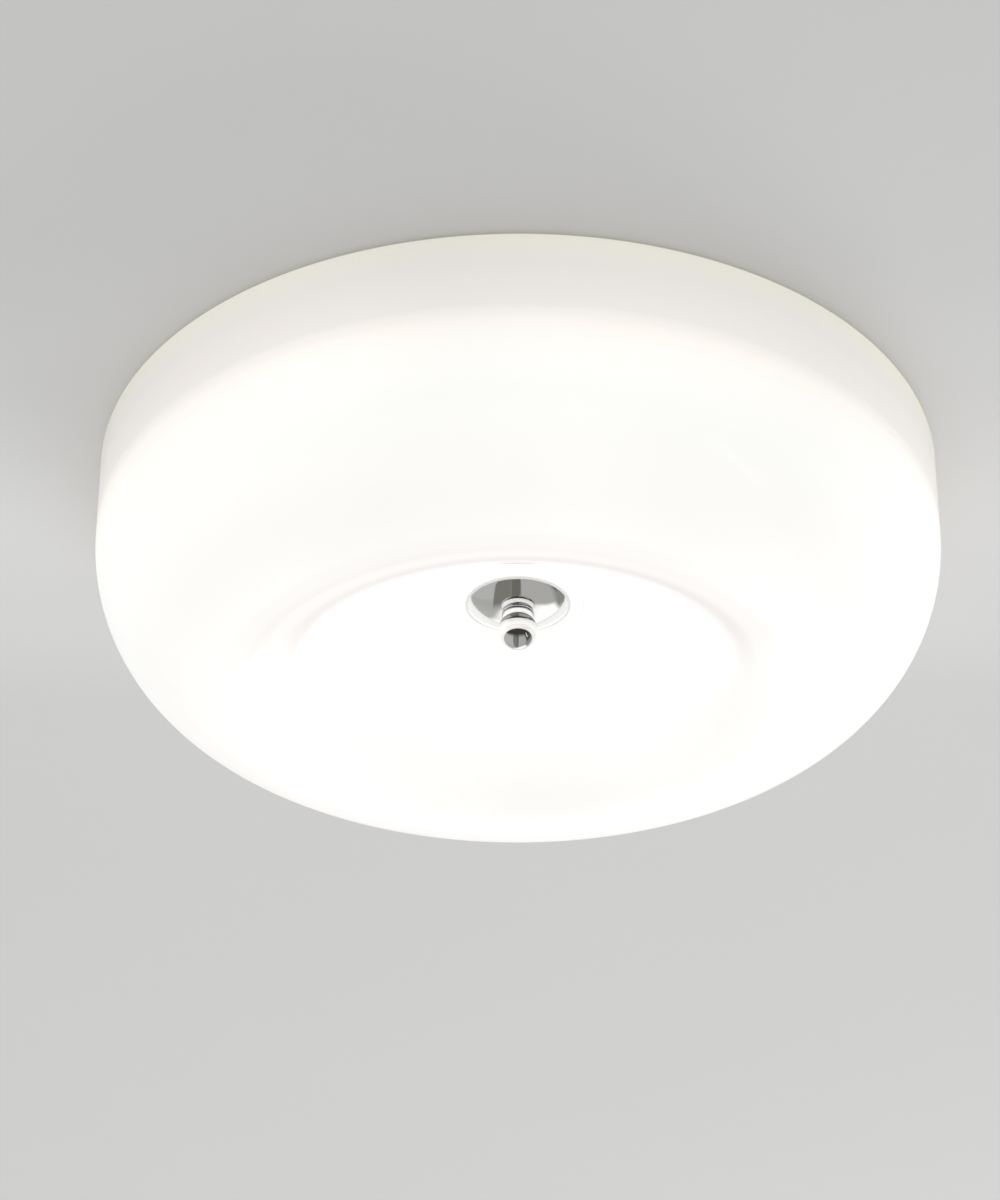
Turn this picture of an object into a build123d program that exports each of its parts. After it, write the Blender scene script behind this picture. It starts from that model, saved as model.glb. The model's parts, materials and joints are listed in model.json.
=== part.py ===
from build123d import *
import math
import os

# Flush mount ceiling light, in millimetres.
# The ceiling is the plane z = 0 and the lamp's axis is Z. Everything hangs below the ceiling.
# A crossbar on the ceiling carries a steel pan, the pan carries the lights and a centre rod,
# and a ball knob on the rod holds up the opal glass shade with a chrome cap.

# ---- driving dimensions ----

# glass shade: a straight wall, a round corner, a crest, a lip and a dimple up to a flat seat
SHADE_RADIUS = 200.0
SHADE_HEIGHT = 118.0
SHADE_RIM_GAP = 1.0
GLASS = 4.0
CORNER_RADIUS = 73.0
LIP_RADIUS = 39.0
LIP_SLOPE = 68.0
CREST_INNER_RADIUS = 100.0
DIMPLE_FILLET = 22.0
FLOOR_SLOPE = 6.0
SEAT_RADIUS = 31.0
SEAT_Z = -67.5
SHADE_HOLE_RADIUS = 6.0
RIM_ROUNDING = 1.5

# steel pan
PAN_RADIUS = 188.0
PAN_TOP_Z = -1.5
PAN_BOTTOM_Z = -40.0
PAN_SHEET = 0.8
PAN_CORNER = 6.0
PAN_FLOOR_Z = PAN_BOTTOM_Z + PAN_SHEET
BEAD_RADIUS = 175.0
BEAD_HALF_WIDTH = 5.0
BEAD_SLOPE_RUN = 2.0
BEAD_HEIGHT = 1.6
BEAD_BEND = 1.4

# crossbar and the two screws that carry the pan
BAR_SHEET = 1.5
BAR_WIDTH = 24.0
BAR_MIDDLE_HALF = 52.0
BAR_STEP_RUN = 6.0
BAR_STEP_DROP = 6.0
BAR_HALF_LENGTH = 76.0
BAR_SLOT_X = 35.0
BAR_SLOT_LENGTH = 18.0
BAR_SLOT_RADIUS = 2.5
HANGER_X = 65.0
HANGER_RADIUS = 2.0
HANGER_END_Z = PAN_BOTTOM_Z - 6.5
HANGER_NUT_FLATS = 7.0

# centre rod, nuts, washers and cushions
ROD_RADIUS = 3.0
ROD_TOP_Z = -31.0
ROD_END_Z = -82.5
ROD_NUT_FLATS = 10.0
ROD_NUT_HEIGHT = 5.0
ROD_WASHER_RADIUS = 6.2
ROD_WASHER = 1.2
SEAT_WASHER_RADIUS = 16.0
SEAT_WASHER = 1.5
CUSHION_RADIUS = 17.0
CUSHION = 2.0
FACE_GAP = 0.05

# chrome cap and ball knob
CAP_WASHER_RADIUS = 25.0
CAP_WASHER = 1.0
CAP_RADIUS = 24.0
CAP_RIM_Z = SEAT_Z - CAP_WASHER
CAP_DEPTH = 4.9
CAP_FLAT_RADIUS = 9.0
CAP_WALL = 1.2
CAP_HOLE_RADIUS = 3.3
COLLAR_RADIUS = 7.6
COLLAR_LOW_RADIUS = 7.1
COLLAR_OVERLAP = 0.4
COLLAR_ROUNDING = 0.6
BALL_RADIUS = 9.35
BALL_Z = -82.5
THREAD_CLEARANCE = 0.05
KNOB_BORE_END_Z = -85.0

# light ring
BOARD_OUTER_RADIUS = 168.0
BOARD_INNER_RADIUS = 85.0
BOARD = 1.2
BOARD_TOP_Z = PAN_BOTTOM_Z - 5.0
BOARD_BOTTOM_Z = BOARD_TOP_Z - BOARD
LIGHT_RINGS = ((105.0, 12), (149.0, 20))
CHIP_SIDE = 3.0
CHIP = 0.7
LENS_RADIUS = 6.5
LENS_HEIGHT = 5.0
LENS_FOOT = 1.2
SPACER_RING_RADIUS = 128.0
SPACER_COUNT = 6
SPACER_FLATS = 6.0
M3_RADIUS = 1.5

# driver
DRIVER_Y = 75.0
DRIVER_LENGTH = 130.0
DRIVER_WIDTH = 44.0
DRIVER_HEIGHT = 24.0
DRIVER_WALL = 1.6
DRIVER_LID = 2.0
DRIVER_TAB = 11.0
DRIVER_TAB_WIDTH = 16.0
DRIVER_BASE_Z = PAN_FLOOR_Z

# terminal block, earth point and wires
BLOCK_X = -45.0
BLOCK_Y = -70.0
BLOCK_WIDTH = 22.0
BLOCK_HEIGHT = 17.0
BLOCK_BASE = 10.5
POLE_SCREW_YS = (-5.0, 5.0)
POLE_PITCH = 11.0
POLE_WIDTH = 8.0
POLE_Z = PAN_FLOOR_Z + 7.5
WIRE_RADIUS = 1.1
LIGHT_WIRE_RADIUS = 0.8
EARTH_X = -8.0
EARTH_Y = -86.0
GROMMET_X = 57.0
GROMMET_Y = 30.0
GROMMET_BORE = 3.4

os.makedirs("parts", exist_ok=True)


# ---- helpers ----

def save(name, *solids):
    """Write one node: a single solid, or a group of separate ones."""
    shape = solids[0] if len(solids) == 1 else Compound(children=list(solids))
    export_step(shape, f"parts/{name}.step")


def disc(x, y, low, high, radius):
    """Upright cylinder between two heights."""
    return Pos(x, y, (low + high) / 2) * Cylinder(radius, high - low)


def hexagon(x, y, low, high, flats):
    """Upright hexagonal bar, sized across its flats."""
    sketch = Pos(x, y, low) * RegularPolygon(flats / math.sqrt(3), 6)
    return extrude(sketch, amount=high - low, dir=(0, 0, 1))


def turned(outline):
    """Solid of revolution about Z from a closed outline in the XZ plane."""
    return revolve(make_face(Plane.XZ * outline), Axis.Z, 360)


def washer(low, high, bore, radius):
    """Flat ring on the lamp's axis."""
    return disc(0, 0, low, high, radius) - disc(0, 0, low - 1, high + 1, bore)


def nut(x, y, low, high, flats, bore):
    """Hexagon nut with a plain bore and its corners rounded off."""
    corner = flats / math.sqrt(3)
    rounded = disc(x, y, low, high, corner)
    rounded = chamfer(rounded.edges(), (corner - flats / 2) * 0.9)
    return (hexagon(x, y, low, high, flats) & rounded) - disc(x, y, low - 1, high + 1, bore)


def ring_places(radius, count, first=0.0):
    """Evenly spaced points on a circle round the lamp's axis."""
    angles = [first + 2 * math.pi * k / count for k in range(count)]
    return [(radius * math.cos(a), radius * math.sin(a)) for a in angles]


# ---- glass shade ----

def shade_outline():
    """Corner points and radii of the shade's outer surface, from the rim to the centre."""
    slope = math.radians(LIP_SLOPE)
    floor = math.tan(math.radians(FLOOR_SLOPE))
    wall_drop = SHADE_HEIGHT + SEAT_Z - floor * (CREST_INNER_RADIUS - SEAT_RADIUS)
    along = wall_drop / (math.sin(slope) - floor * math.cos(slope))
    dimple_corner = (CREST_INNER_RADIUS - along * math.cos(slope), -SHADE_HEIGHT + along * math.sin(slope))
    points = [
        (SHADE_RADIUS, -SHADE_RIM_GAP),
        (SHADE_RADIUS, -SHADE_HEIGHT),
        (CREST_INNER_RADIUS, -SHADE_HEIGHT),
        dimple_corner,
    ]
    return points, (CORNER_RADIUS, LIP_RADIUS, DIMPLE_FILLET)


def glass_shade():
    points, radii = shade_outline()
    seat_edge = (SEAT_RADIUS, SEAT_Z)
    curve = FilletPolyline(*points, seat_edge, radius=list(radii))
    skin = curve + Line(seat_edge, (SHADE_HOLE_RADIUS, SEAT_Z))
    section = make_face(offset(skin, amount=GLASS, side=Side.RIGHT, closed=True))
    shade = revolve(Plane.XZ * section, Axis.Z, 360)
    rim_edges = shade.edges().filter_by(GeomType.CIRCLE).group_by(Axis.Z)[-1]
    return fillet(rim_edges, RIM_ROUNDING)


# ---- pan ----

def light_places():
    """Centre of each light on the board, ring by ring."""
    places = []
    for radius, count in LIGHT_RINGS:
        places += ring_places(radius, count, math.pi / count)
    return places


def driver_screw_places():
    reach = DRIVER_LENGTH / 2 + DRIVER_TAB / 2
    return [(-reach, DRIVER_Y), (reach, DRIVER_Y)]


def pan_outline():
    """The pan's outer surface from its rim to the middle, with a stiffening bead pressed up in the floor."""
    bead_top = PAN_BOTTOM_Z + BEAD_HEIGHT
    foot = BEAD_HALF_WIDTH
    crown = BEAD_HALF_WIDTH - BEAD_SLOPE_RUN
    points = [
        (PAN_RADIUS, PAN_TOP_Z),
        (PAN_RADIUS, PAN_BOTTOM_Z),
        (BEAD_RADIUS + foot, PAN_BOTTOM_Z),
        (BEAD_RADIUS + crown, bead_top),
        (BEAD_RADIUS - crown, bead_top),
        (BEAD_RADIUS - foot, PAN_BOTTOM_Z),
        (1, PAN_BOTTOM_Z),
    ]
    return FilletPolyline(*points, radius=[PAN_CORNER] + 4 * [BEAD_BEND])


def base_pan():
    section = make_face(offset(pan_outline(), amount=PAN_SHEET, side=Side.RIGHT, closed=True))
    pan = revolve(Plane.XZ * section, Axis.Z, 360)
    holes = [(0, 0, ROD_RADIUS + 0.3), (GROMMET_X, GROMMET_Y, GROMMET_BORE + 1.6)]
    holes += [(side * HANGER_X, 0, HANGER_RADIUS + 0.4) for side in (-1, 1)]
    holes += [(x, y, M3_RADIUS + 0.05) for x, y in ring_places(SPACER_RING_RADIUS, SPACER_COUNT)]
    holes += [(x, y, M3_RADIUS + 0.3) for x, y in driver_screw_places()]
    holes += [(x, BLOCK_Y, M3_RADIUS + 0.05) for x in block_screw_places()]
    holes += [(EARTH_X, EARTH_Y, HANGER_RADIUS + 0.05)]
    for x, y, radius in holes:
        pan -= disc(x, y, PAN_BOTTOM_Z - 2, PAN_FLOOR_Z + 2, radius)
    return pan


# ---- crossbar ----

def mounting_bracket():
    end_z = -BAR_STEP_DROP
    step_x = BAR_MIDDLE_HALF + BAR_STEP_RUN
    half = Polyline((0, 0), (BAR_MIDDLE_HALF, 0), (step_x, end_z), (BAR_HALF_LENGTH, end_z),
                    (BAR_HALF_LENGTH, end_z - BAR_SHEET), (step_x - 0.6, end_z - BAR_SHEET),
                    (BAR_MIDDLE_HALF - 0.6, -BAR_SHEET), (0, -BAR_SHEET), close=True)
    side = extrude(Plane.XZ * make_face(half), amount=BAR_WIDTH / 2, both=True)
    bar = side + mirror(side, Plane.YZ)
    bar = fillet(bar.edges().filter_by(Axis.Z), 4)
    for x in (-BAR_SLOT_X, BAR_SLOT_X):
        slot = Pos(x, 0, -BAR_SHEET - 1) * SlotOverall(BAR_SLOT_LENGTH, 2 * BAR_SLOT_RADIUS)
        bar -= extrude(slot, amount=BAR_SHEET + 2, dir=(0, 0, 1))
    for x in (-HANGER_X, HANGER_X):
        bar -= disc(x, 0, end_z - BAR_SHEET - 1, end_z + 1, HANGER_RADIUS + 0.05)
    return bar


def hanger_screw(x):
    head_low = -BAR_STEP_DROP
    head = fillet(disc(x, 0, head_low, head_low + 2.6, 4.0).edges().group_by(Axis.Z)[-1], 1.4)
    recess = Pos(x, 0, head_low + 2.6) * (Box(4.4, 1.0, 2.4) + Box(1.0, 4.4, 2.4))
    return head + disc(x, 0, HANGER_END_Z, head_low, HANGER_RADIUS) - recess


def cap_nut(x):
    """Hexagon with a domed end, bored from the top for the hanger screw."""
    low = PAN_BOTTOM_Z - 1.0
    hex_low = low - 4.0
    shape = nut(x, 0, hex_low, low, HANGER_NUT_FLATS, 0.5) + disc(x, 0, hex_low, low, 1.0)
    shape += Pos(x, 0, hex_low + 0.4) * Sphere(3.45)
    above = disc(x, 0, low, low + 6, 6.0)
    bore = disc(x, 0, HANGER_END_Z - 0.3, low + 1, HANGER_RADIUS + 0.05)
    return shape - above - bore


# ---- centre rod and what is on it ----

def centre_rod():
    rod = disc(0, 0, ROD_END_Z, ROD_TOP_Z, ROD_RADIUS)
    return chamfer(rod.edges().filter_by(GeomType.CIRCLE), 0.6)


def rod_stack():
    """Heights of the nuts and washers that fix the rod to the pan, and of the stop above the glass."""
    glass_top = SEAT_Z + GLASS + FACE_GAP
    seat_low = glass_top + CUSHION
    stop_low = seat_low + SEAT_WASHER
    return glass_top, seat_low, stop_low


def cap_meridian(rim_radius, rim_z, depth, flat_radius):
    """Tangent arc from the cap's flat middle up to its rim, as three points."""
    run = rim_radius - flat_radius
    radius = (run ** 2 + depth ** 2) / (2 * depth)
    turn = math.asin(run / radius)
    low = rim_z - depth
    middle = (flat_radius + radius * math.sin(turn / 2), low + radius * (1 - math.cos(turn / 2)))
    return (flat_radius, low), middle, (rim_radius, rim_z)


def cap_inner_meridian():
    return cap_meridian(CAP_RADIUS - CAP_WALL, CAP_RIM_Z, CAP_DEPTH - CAP_WALL, CAP_FLAT_RADIUS)


def chrome_cap():
    flat_edge, middle, rim = cap_meridian(CAP_RADIUS, CAP_RIM_Z, CAP_DEPTH, CAP_FLAT_RADIUS)
    inner_flat, inner_middle, inner_rim = cap_inner_meridian()
    outline = Line((CAP_HOLE_RADIUS, flat_edge[1]), flat_edge)
    outline += ThreePointArc(flat_edge, middle, rim)
    outline += Line(rim, inner_rim)
    outline += ThreePointArc(inner_rim, inner_middle, inner_flat)
    outline += Line(inner_flat, (CAP_HOLE_RADIUS, inner_flat[1]))
    outline += Line((CAP_HOLE_RADIUS, inner_flat[1]), (CAP_HOLE_RADIUS, flat_edge[1]))
    return turned(outline)


def cap_washer():
    """Soft ring between the glass and the cap, with a hub that fills the cap's hollow."""
    inner_flat, inner_middle, inner_rim = cap_inner_meridian()
    bore = CAP_HOLE_RADIUS + 0.4
    outline = Line((bore, SEAT_Z - FACE_GAP), (CAP_WASHER_RADIUS, SEAT_Z - FACE_GAP))
    outline += Line((CAP_WASHER_RADIUS, SEAT_Z - FACE_GAP), (CAP_WASHER_RADIUS, CAP_RIM_Z))
    outline += Line((CAP_WASHER_RADIUS, CAP_RIM_Z), inner_rim)
    outline += ThreePointArc(inner_rim, inner_middle, inner_flat)
    outline += Line(inner_flat, (bore, inner_flat[1]))
    outline += Line((bore, inner_flat[1]), (bore, SEAT_Z - FACE_GAP))
    return turned(outline)


def finial_knob():
    """Ball with a collar that narrows towards it and runs straight into it, turned in one piece."""
    top = CAP_RIM_Z - CAP_DEPTH - FACE_GAP
    low = BALL_Z + math.sqrt(BALL_RADIUS ** 2 - COLLAR_LOW_RADIUS ** 2) - COLLAR_OVERLAP
    collar = Pos(0, 0, (top + low) / 2) * Cone(COLLAR_LOW_RADIUS, COLLAR_RADIUS, top - low)
    collar = fillet(collar.edges().filter_by(GeomType.CIRCLE).sort_by(Axis.Z)[-1], COLLAR_ROUNDING)
    ball = Pos(0, 0, BALL_Z) * Sphere(BALL_RADIUS)
    bore = disc(0, 0, KNOB_BORE_END_Z, top + 1, ROD_RADIUS + THREAD_CLEARANCE)
    solid = collar + ball - bore
    return solid & disc(0, 0, BALL_Z - BALL_RADIUS - 1, top, BALL_RADIUS + 1)


# ---- light ring ----

def led_board():
    board = washer(BOARD_BOTTOM_Z, BOARD_TOP_Z, BOARD_INNER_RADIUS, BOARD_OUTER_RADIUS)
    for x, y in ring_places(SPACER_RING_RADIUS, SPACER_COUNT):
        board -= disc(x, y, BOARD_BOTTOM_Z - 1, BOARD_TOP_Z + 1, M3_RADIUS + 0.2)
    return board


def led_chips():
    low = BOARD_BOTTOM_Z - CHIP
    return [Pos(x, y, low + CHIP / 2) * Box(CHIP_SIDE, CHIP_SIDE, CHIP) for x, y in light_places()]


def led_lenses():
    """Clear domes over the chips, each with a square pocket for its chip."""
    low = BOARD_BOTTOM_Z - LENS_HEIGHT
    dome_height = LENS_HEIGHT - LENS_FOOT
    top_radius = LENS_RADIUS - 0.5
    dome_radius = (top_radius ** 2 + dome_height ** 2) / (2 * dome_height)
    foot = disc(0, 0, BOARD_BOTTOM_Z - LENS_FOOT, BOARD_BOTTOM_Z, LENS_RADIUS)
    dome = Pos(0, 0, low + dome_radius) * Sphere(dome_radius)
    dome &= disc(0, 0, low - 1, BOARD_BOTTOM_Z - LENS_FOOT, top_radius)
    pocket = Pos(0, 0, BOARD_BOTTOM_Z - CHIP / 2) * Box(CHIP_SIDE + 0.4, CHIP_SIDE + 0.4, CHIP + 0.4)
    lens = foot + dome - pocket
    return [Pos(x, y, 0) * lens for x, y in light_places()]


def led_spacers():
    spacers = []
    for x, y in ring_places(SPACER_RING_RADIUS, SPACER_COUNT):
        spacers.append(nut(x, y, BOARD_TOP_Z, PAN_BOTTOM_Z, SPACER_FLATS, M3_RADIUS + 0.05))
    return spacers


def pan_head_screw(x, y, face_z, tip_z, radius, head_radius, head_height):
    """Cross-recess screw driven upwards, with its head below the face that it holds."""
    low = face_z - head_height
    head = disc(x, y, low, face_z, head_radius)
    head = fillet(head.edges().group_by(Axis.Z)[0], head_height * 0.45)
    recess = Pos(x, y, low) * (Box(2.8 * radius, 0.6, 1.2) + Box(0.6, 2.8 * radius, 1.2))
    return head + disc(x, y, face_z, tip_z, radius) - recess


def led_connector():
    """Two-pole socket under the board, with its mouth towards the lamp's axis."""
    body = Pos(0, 0, -2.5) * Box(8, 9, 5)
    mouth = Pos(-3, 0, -2.5) * Box(4, 6.4, 3.2)
    turn = math.degrees(math.atan2(GROMMET_Y, GROMMET_X))
    return Pos(0, 0, BOARD_BOTTOM_Z) * Rot(0, 0, turn) * Pos(94, 0, 0) * (body - mouth)


# ---- driver ----

def driver_case():
    """Open-topped plastic box with a screw tab at each end and wire holes in its long side."""
    low = DRIVER_BASE_Z
    body = Pos(0, DRIVER_Y, low + DRIVER_HEIGHT / 2) * Box(DRIVER_LENGTH, DRIVER_WIDTH, DRIVER_HEIGHT)
    body = fillet(body.edges().filter_by(Axis.Z), 3)
    hollow = Pos(0, DRIVER_Y, low + DRIVER_WALL + DRIVER_HEIGHT / 2) * Box(
        DRIVER_LENGTH - 2 * DRIVER_WALL, DRIVER_WIDTH - 2 * DRIVER_WALL, DRIVER_HEIGHT)
    case = body - hollow
    tab_thickness = 3.0
    for side in (-1, 1):
        reach = DRIVER_LENGTH / 2 + DRIVER_TAB / 2 - 0.5
        tab = Pos(side * reach, DRIVER_Y, low + tab_thickness / 2) * Box(
            DRIVER_TAB + 1, DRIVER_TAB_WIDTH, tab_thickness)
        case += tab
    for x, y in driver_screw_places():
        case -= disc(x, y, low - 1, low + tab_thickness + 1, M3_RADIUS + 0.05)
    for start, radius in driver_wire_exits():
        case -= Pos(*start) * Rot(90, 0, 0) * Cylinder(radius + 0.3, 2 * DRIVER_WALL + 2)
    return case


def driver_lid():
    low = DRIVER_BASE_Z + DRIVER_HEIGHT
    plate = Pos(0, DRIVER_Y, low + DRIVER_LID / 2) * Box(DRIVER_LENGTH, DRIVER_WIDTH, DRIVER_LID)
    plate = fillet(plate.edges().filter_by(Axis.Z), 3)
    plug = Pos(0, DRIVER_Y, low - 1) * Box(
        DRIVER_LENGTH - 2 * DRIVER_WALL - 0.4, DRIVER_WIDTH - 2 * DRIVER_WALL - 0.4, 2)
    lid = plate + plug
    for k in range(-4, 5):
        lid -= Pos(k * 12, DRIVER_Y, low + DRIVER_LID) * Box(3, 26, 1.2)
    return lid


def driver_board():
    low = DRIVER_BASE_Z + DRIVER_WALL
    board = Pos(0, DRIVER_Y, low + 0.8) * Box(
        DRIVER_LENGTH - 2 * DRIVER_WALL - 1, DRIVER_WIDTH - 2 * DRIVER_WALL - 1, 1.6)
    return board


def driver_transformer():
    low = DRIVER_BASE_Z + DRIVER_WALL + 1.6
    core = Pos(12, DRIVER_Y, low + 8) * Box(20, 22, 16)
    coil = Pos(12, DRIVER_Y, low + 8) * Rot(90, 0, 0) * Cylinder(7.5, 30)
    return core + coil


def driver_capacitors():
    low = DRIVER_BASE_Z + DRIVER_WALL + 1.6
    cans = []
    for x, radius, height in ((-32, 6.5, 18), (-12, 5, 14), (40, 5, 16)):
        can = disc(x, DRIVER_Y, low, low + height, radius)
        cans.append(fillet(can.edges().group_by(Axis.Z)[-1], 0.8))
    return cans


# ---- terminal block and earth point ----

def pole_places():
    return [BLOCK_X + k * POLE_PITCH for k in (-1, 0, 1)]


def block_screw_places():
    return [BLOCK_X + side * POLE_PITCH / 2 for side in (-1, 1)]


def terminal_block():
    """Three-pole block: a low base with a tower for each pole, and a screw hole between towers."""
    low = PAN_FLOOR_Z
    top = low + BLOCK_HEIGHT
    block = Pos(BLOCK_X, BLOCK_Y, low + BLOCK_BASE / 2) * Box(3 * POLE_PITCH, BLOCK_WIDTH, BLOCK_BASE)
    for x in pole_places():
        block += Pos(x, BLOCK_Y, low + BLOCK_HEIGHT / 2) * Box(POLE_WIDTH, BLOCK_WIDTH - 2, BLOCK_HEIGHT)
    for x in pole_places():
        block -= Pos(x, BLOCK_Y, POLE_Z) * Rot(90, 0, 0) * Cylinder(2.1, BLOCK_WIDTH + 2)
        for y in POLE_SCREW_YS:
            block -= disc(x, BLOCK_Y + y, POLE_Z, top + 1, 2.0)
    for x in block_screw_places():
        block -= disc(x, BLOCK_Y, low - 1, top + 1, M3_RADIUS + 0.2)
        block -= disc(x, BLOCK_Y, low + BLOCK_BASE, top + 1, 3.0)
    return block


def terminal_screws():
    """Clamp screws, standing on the wire in each pole."""
    low = POLE_Z + WIRE_RADIUS + 0.1
    screws = []
    for x in pole_places():
        for y in POLE_SCREW_YS:
            screw = disc(x, BLOCK_Y + y, low, low + 5.5, 1.9)
            slot = Pos(x, BLOCK_Y + y, low + 5.5) * Box(4, 0.6, 1.6)
            screws.append(screw - slot)
    return screws


def terminal_block_screw(x):
    seat = PAN_FLOOR_Z + BLOCK_BASE
    head = fillet(disc(x, BLOCK_Y, seat, seat + 2, 2.7).edges().group_by(Axis.Z)[-1], 0.8)
    slot = Pos(x, BLOCK_Y, seat + 2) * (Box(3.4, 0.6, 1.4) + Box(0.6, 3.4, 1.4))
    return head + disc(x, BLOCK_Y, PAN_BOTTOM_Z - 2, seat, M3_RADIUS) - slot


def earth_lug():
    """Ring terminal with a barrel that grips the earth wire."""
    low = PAN_FLOOR_Z
    ring = disc(EARTH_X, EARTH_Y, low, low + 0.8, 4.2)
    tongue = Pos(EARTH_X, EARTH_Y + 6, low + 0.4) * Box(3.4, 7, 0.8)
    barrel = Pos(EARTH_X, EARTH_Y + 11, low + 1.9) * Rot(90, 0, 0) * Cylinder(1.9, 7)
    bore = Pos(EARTH_X, EARTH_Y + 12, low + 1.9) * Rot(90, 0, 0) * Cylinder(WIRE_RADIUS + 0.05, 7)
    return ring + tongue + barrel - bore - disc(EARTH_X, EARTH_Y, low - 1, low + 2, HANGER_RADIUS + 0.2)


def earth_screw():
    seat = PAN_FLOOR_Z + 0.8
    head = disc(EARTH_X, EARTH_Y, seat, seat + 2.6, 3.8)
    head = fillet(head.edges().group_by(Axis.Z)[-1], 1.1)
    slot = Pos(EARTH_X, EARTH_Y, seat + 2.6) * (Box(4.4, 0.9, 2) + Box(0.9, 4.4, 2))
    return head + disc(EARTH_X, EARTH_Y, PAN_BOTTOM_Z - 3, seat, HANGER_RADIUS) - slot


def wire_grommet():
    """Soft bush in the pan's wire hole, with a lip above and below the sheet."""
    lip = GROMMET_BORE + 3.0
    throat = GROMMET_BORE + 1.55
    bush = disc(GROMMET_X, GROMMET_Y, PAN_FLOOR_Z, PAN_FLOOR_Z + 1.6, lip)
    bush += disc(GROMMET_X, GROMMET_Y, PAN_BOTTOM_Z - 1.6, PAN_BOTTOM_Z, lip)
    bush += disc(GROMMET_X, GROMMET_Y, PAN_BOTTOM_Z - 0.5, PAN_FLOOR_Z + 0.5, throat)
    return bush - disc(GROMMET_X, GROMMET_Y, PAN_BOTTOM_Z - 3, PAN_FLOOR_Z + 3, GROMMET_BORE)


# ---- wires, each a round tube along straight runs and tangent arcs ----

def driver_wire_exits():
    """Where the wires go through the driver's side, and their radii."""
    y = DRIVER_Y - DRIVER_WIDTH / 2 + DRIVER_WALL / 2
    exits = [((points[0][0], y, points[0][2]), LIGHT_WIRE_RADIUS) for points in light_wire_routes()]
    exits += [((route[-1][0], y, route[-1][2]), WIRE_RADIUS) for route in mains_routes()]
    return exits


def light_wire_routes():
    """From the driver, over to the grommet, down through it and out to the connector."""
    out = math.atan2(GROMMET_Y, GROMMET_X)
    routes = []
    for side, z in ((1, -29.0), (-1, -27.0)):
        x = GROMMET_X - side * 1.1 * math.sin(out)
        y = GROMMET_Y + side * 1.1 * math.cos(out)
        low = BOARD_BOTTOM_Z - 2.5
        reach = 24.0
        start_y = DRIVER_Y - DRIVER_WIDTH / 2 + DRIVER_WALL
        end = (x + reach * math.cos(out), y + reach * math.sin(out), low)
        routes.append([(x, start_y, z), (x, y, z), (x, y, low), end])
    return routes


def mains_routes():
    """Two wires from the terminal block's poles across to the driver's side."""
    start_y = BLOCK_Y + 1
    end_y = DRIVER_Y - DRIVER_WIDTH / 2 + DRIVER_WALL
    routes = []
    for pole, sway, end_x in ((0, -7.0, -42.0), (1, 6.0, -35.0)):
        x = pole_places()[pole]
        routes.append([
            (x, start_y, POLE_Z),
            (x, start_y + 22, POLE_Z),
            (x + sway, -26, -34),
            (x + 0.6 * sway + 3, 0, -36),
            (end_x - 0.3 * sway, 24, -34),
            (end_x, 42, -27),
            (end_x, end_y, -27),
        ])
    return routes


def earth_route():
    x = pole_places()[2]
    return [
        (x, BLOCK_Y + 1, POLE_Z),
        (x, BLOCK_Y + 20, POLE_Z),
        (x + 10, BLOCK_Y + 29, -34),
        (EARTH_X - 3, BLOCK_Y + 23, -36),
        (EARTH_X, EARTH_Y + 24, PAN_FLOOR_Z + 1.9),
        (EARTH_X, EARTH_Y + 9.5, PAN_FLOOR_Z + 1.9),
    ]


def wire(name, route, radius):
    """Sweep a round section along the route, each corner as large as its runs allow."""
    points = [Vector(*point) for point in route]
    radii = []
    for before, corner, after in zip(points, points[1:], points[2:]):
        run_in = corner - before
        run_out = after - corner
        turn = math.radians(run_in.get_angle(run_out))
        radii.append(0.45 * min(run_in.length, run_out.length) / math.tan(turn / 2))
    path = FilletPolyline(*points, radius=radii)
    section = Plane(path @ 0, z_dir=path % 0) * Circle(radius)
    tube = sweep(section, path=path)
    expected = math.pi * radius ** 2 * path.length
    print(f"{name}: length {path.length:.1f}, radii {[round(r, 1) for r in radii]}, "
          f"volume {tube.volume:.1f} of {expected:.1f}")
    save(name, tube)


# ---- write every node ----

glass_top, seat_low, stop_low = rod_stack()
floor = PAN_FLOOR_Z
underside = PAN_BOTTOM_Z
sides = (-1, 1)

save("mounting_bracket", mounting_bracket())
save("hanger_screws", *[hanger_screw(side * HANGER_X) for side in sides])
bar_low = -BAR_STEP_DROP - BAR_SHEET
save("hanger_lock_nuts", *[nut(side * HANGER_X, 0, bar_low - 3.2, bar_low, HANGER_NUT_FLATS, HANGER_RADIUS + 0.05)
                           for side in sides])
save("base_pan", base_pan())
save("cap_nut_washers", *[Pos(side * HANGER_X, 0, 0) * washer(underside - 1, underside, 2.2, 4.5)
                          for side in sides])
save("cap_nuts", *[cap_nut(side * HANGER_X) for side in sides])

save("centre_rod", centre_rod())
rod_bore = ROD_RADIUS + THREAD_CLEARANCE
upper = floor + ROD_WASHER
lower = underside - ROD_WASHER
save("rod_washers", washer(floor, upper, rod_bore + 0.2, ROD_WASHER_RADIUS),
     washer(lower, underside, rod_bore + 0.2, ROD_WASHER_RADIUS))
save("rod_nuts", nut(0, 0, upper, upper + ROD_NUT_HEIGHT, ROD_NUT_FLATS, rod_bore),
     nut(0, 0, lower - ROD_NUT_HEIGHT, lower, ROD_NUT_FLATS, rod_bore))
save("stop_nut", nut(0, 0, stop_low, stop_low + ROD_NUT_HEIGHT, ROD_NUT_FLATS, rod_bore))
save("seat_washer", washer(seat_low, stop_low, rod_bore + 0.2, SEAT_WASHER_RADIUS))
save("shade_cushion", washer(glass_top, seat_low, rod_bore + 0.2, CUSHION_RADIUS))

save("glass_shade", glass_shade())
save("cap_washer", cap_washer())
save("chrome_cap", chrome_cap())
save("finial_knob", finial_knob())

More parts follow.
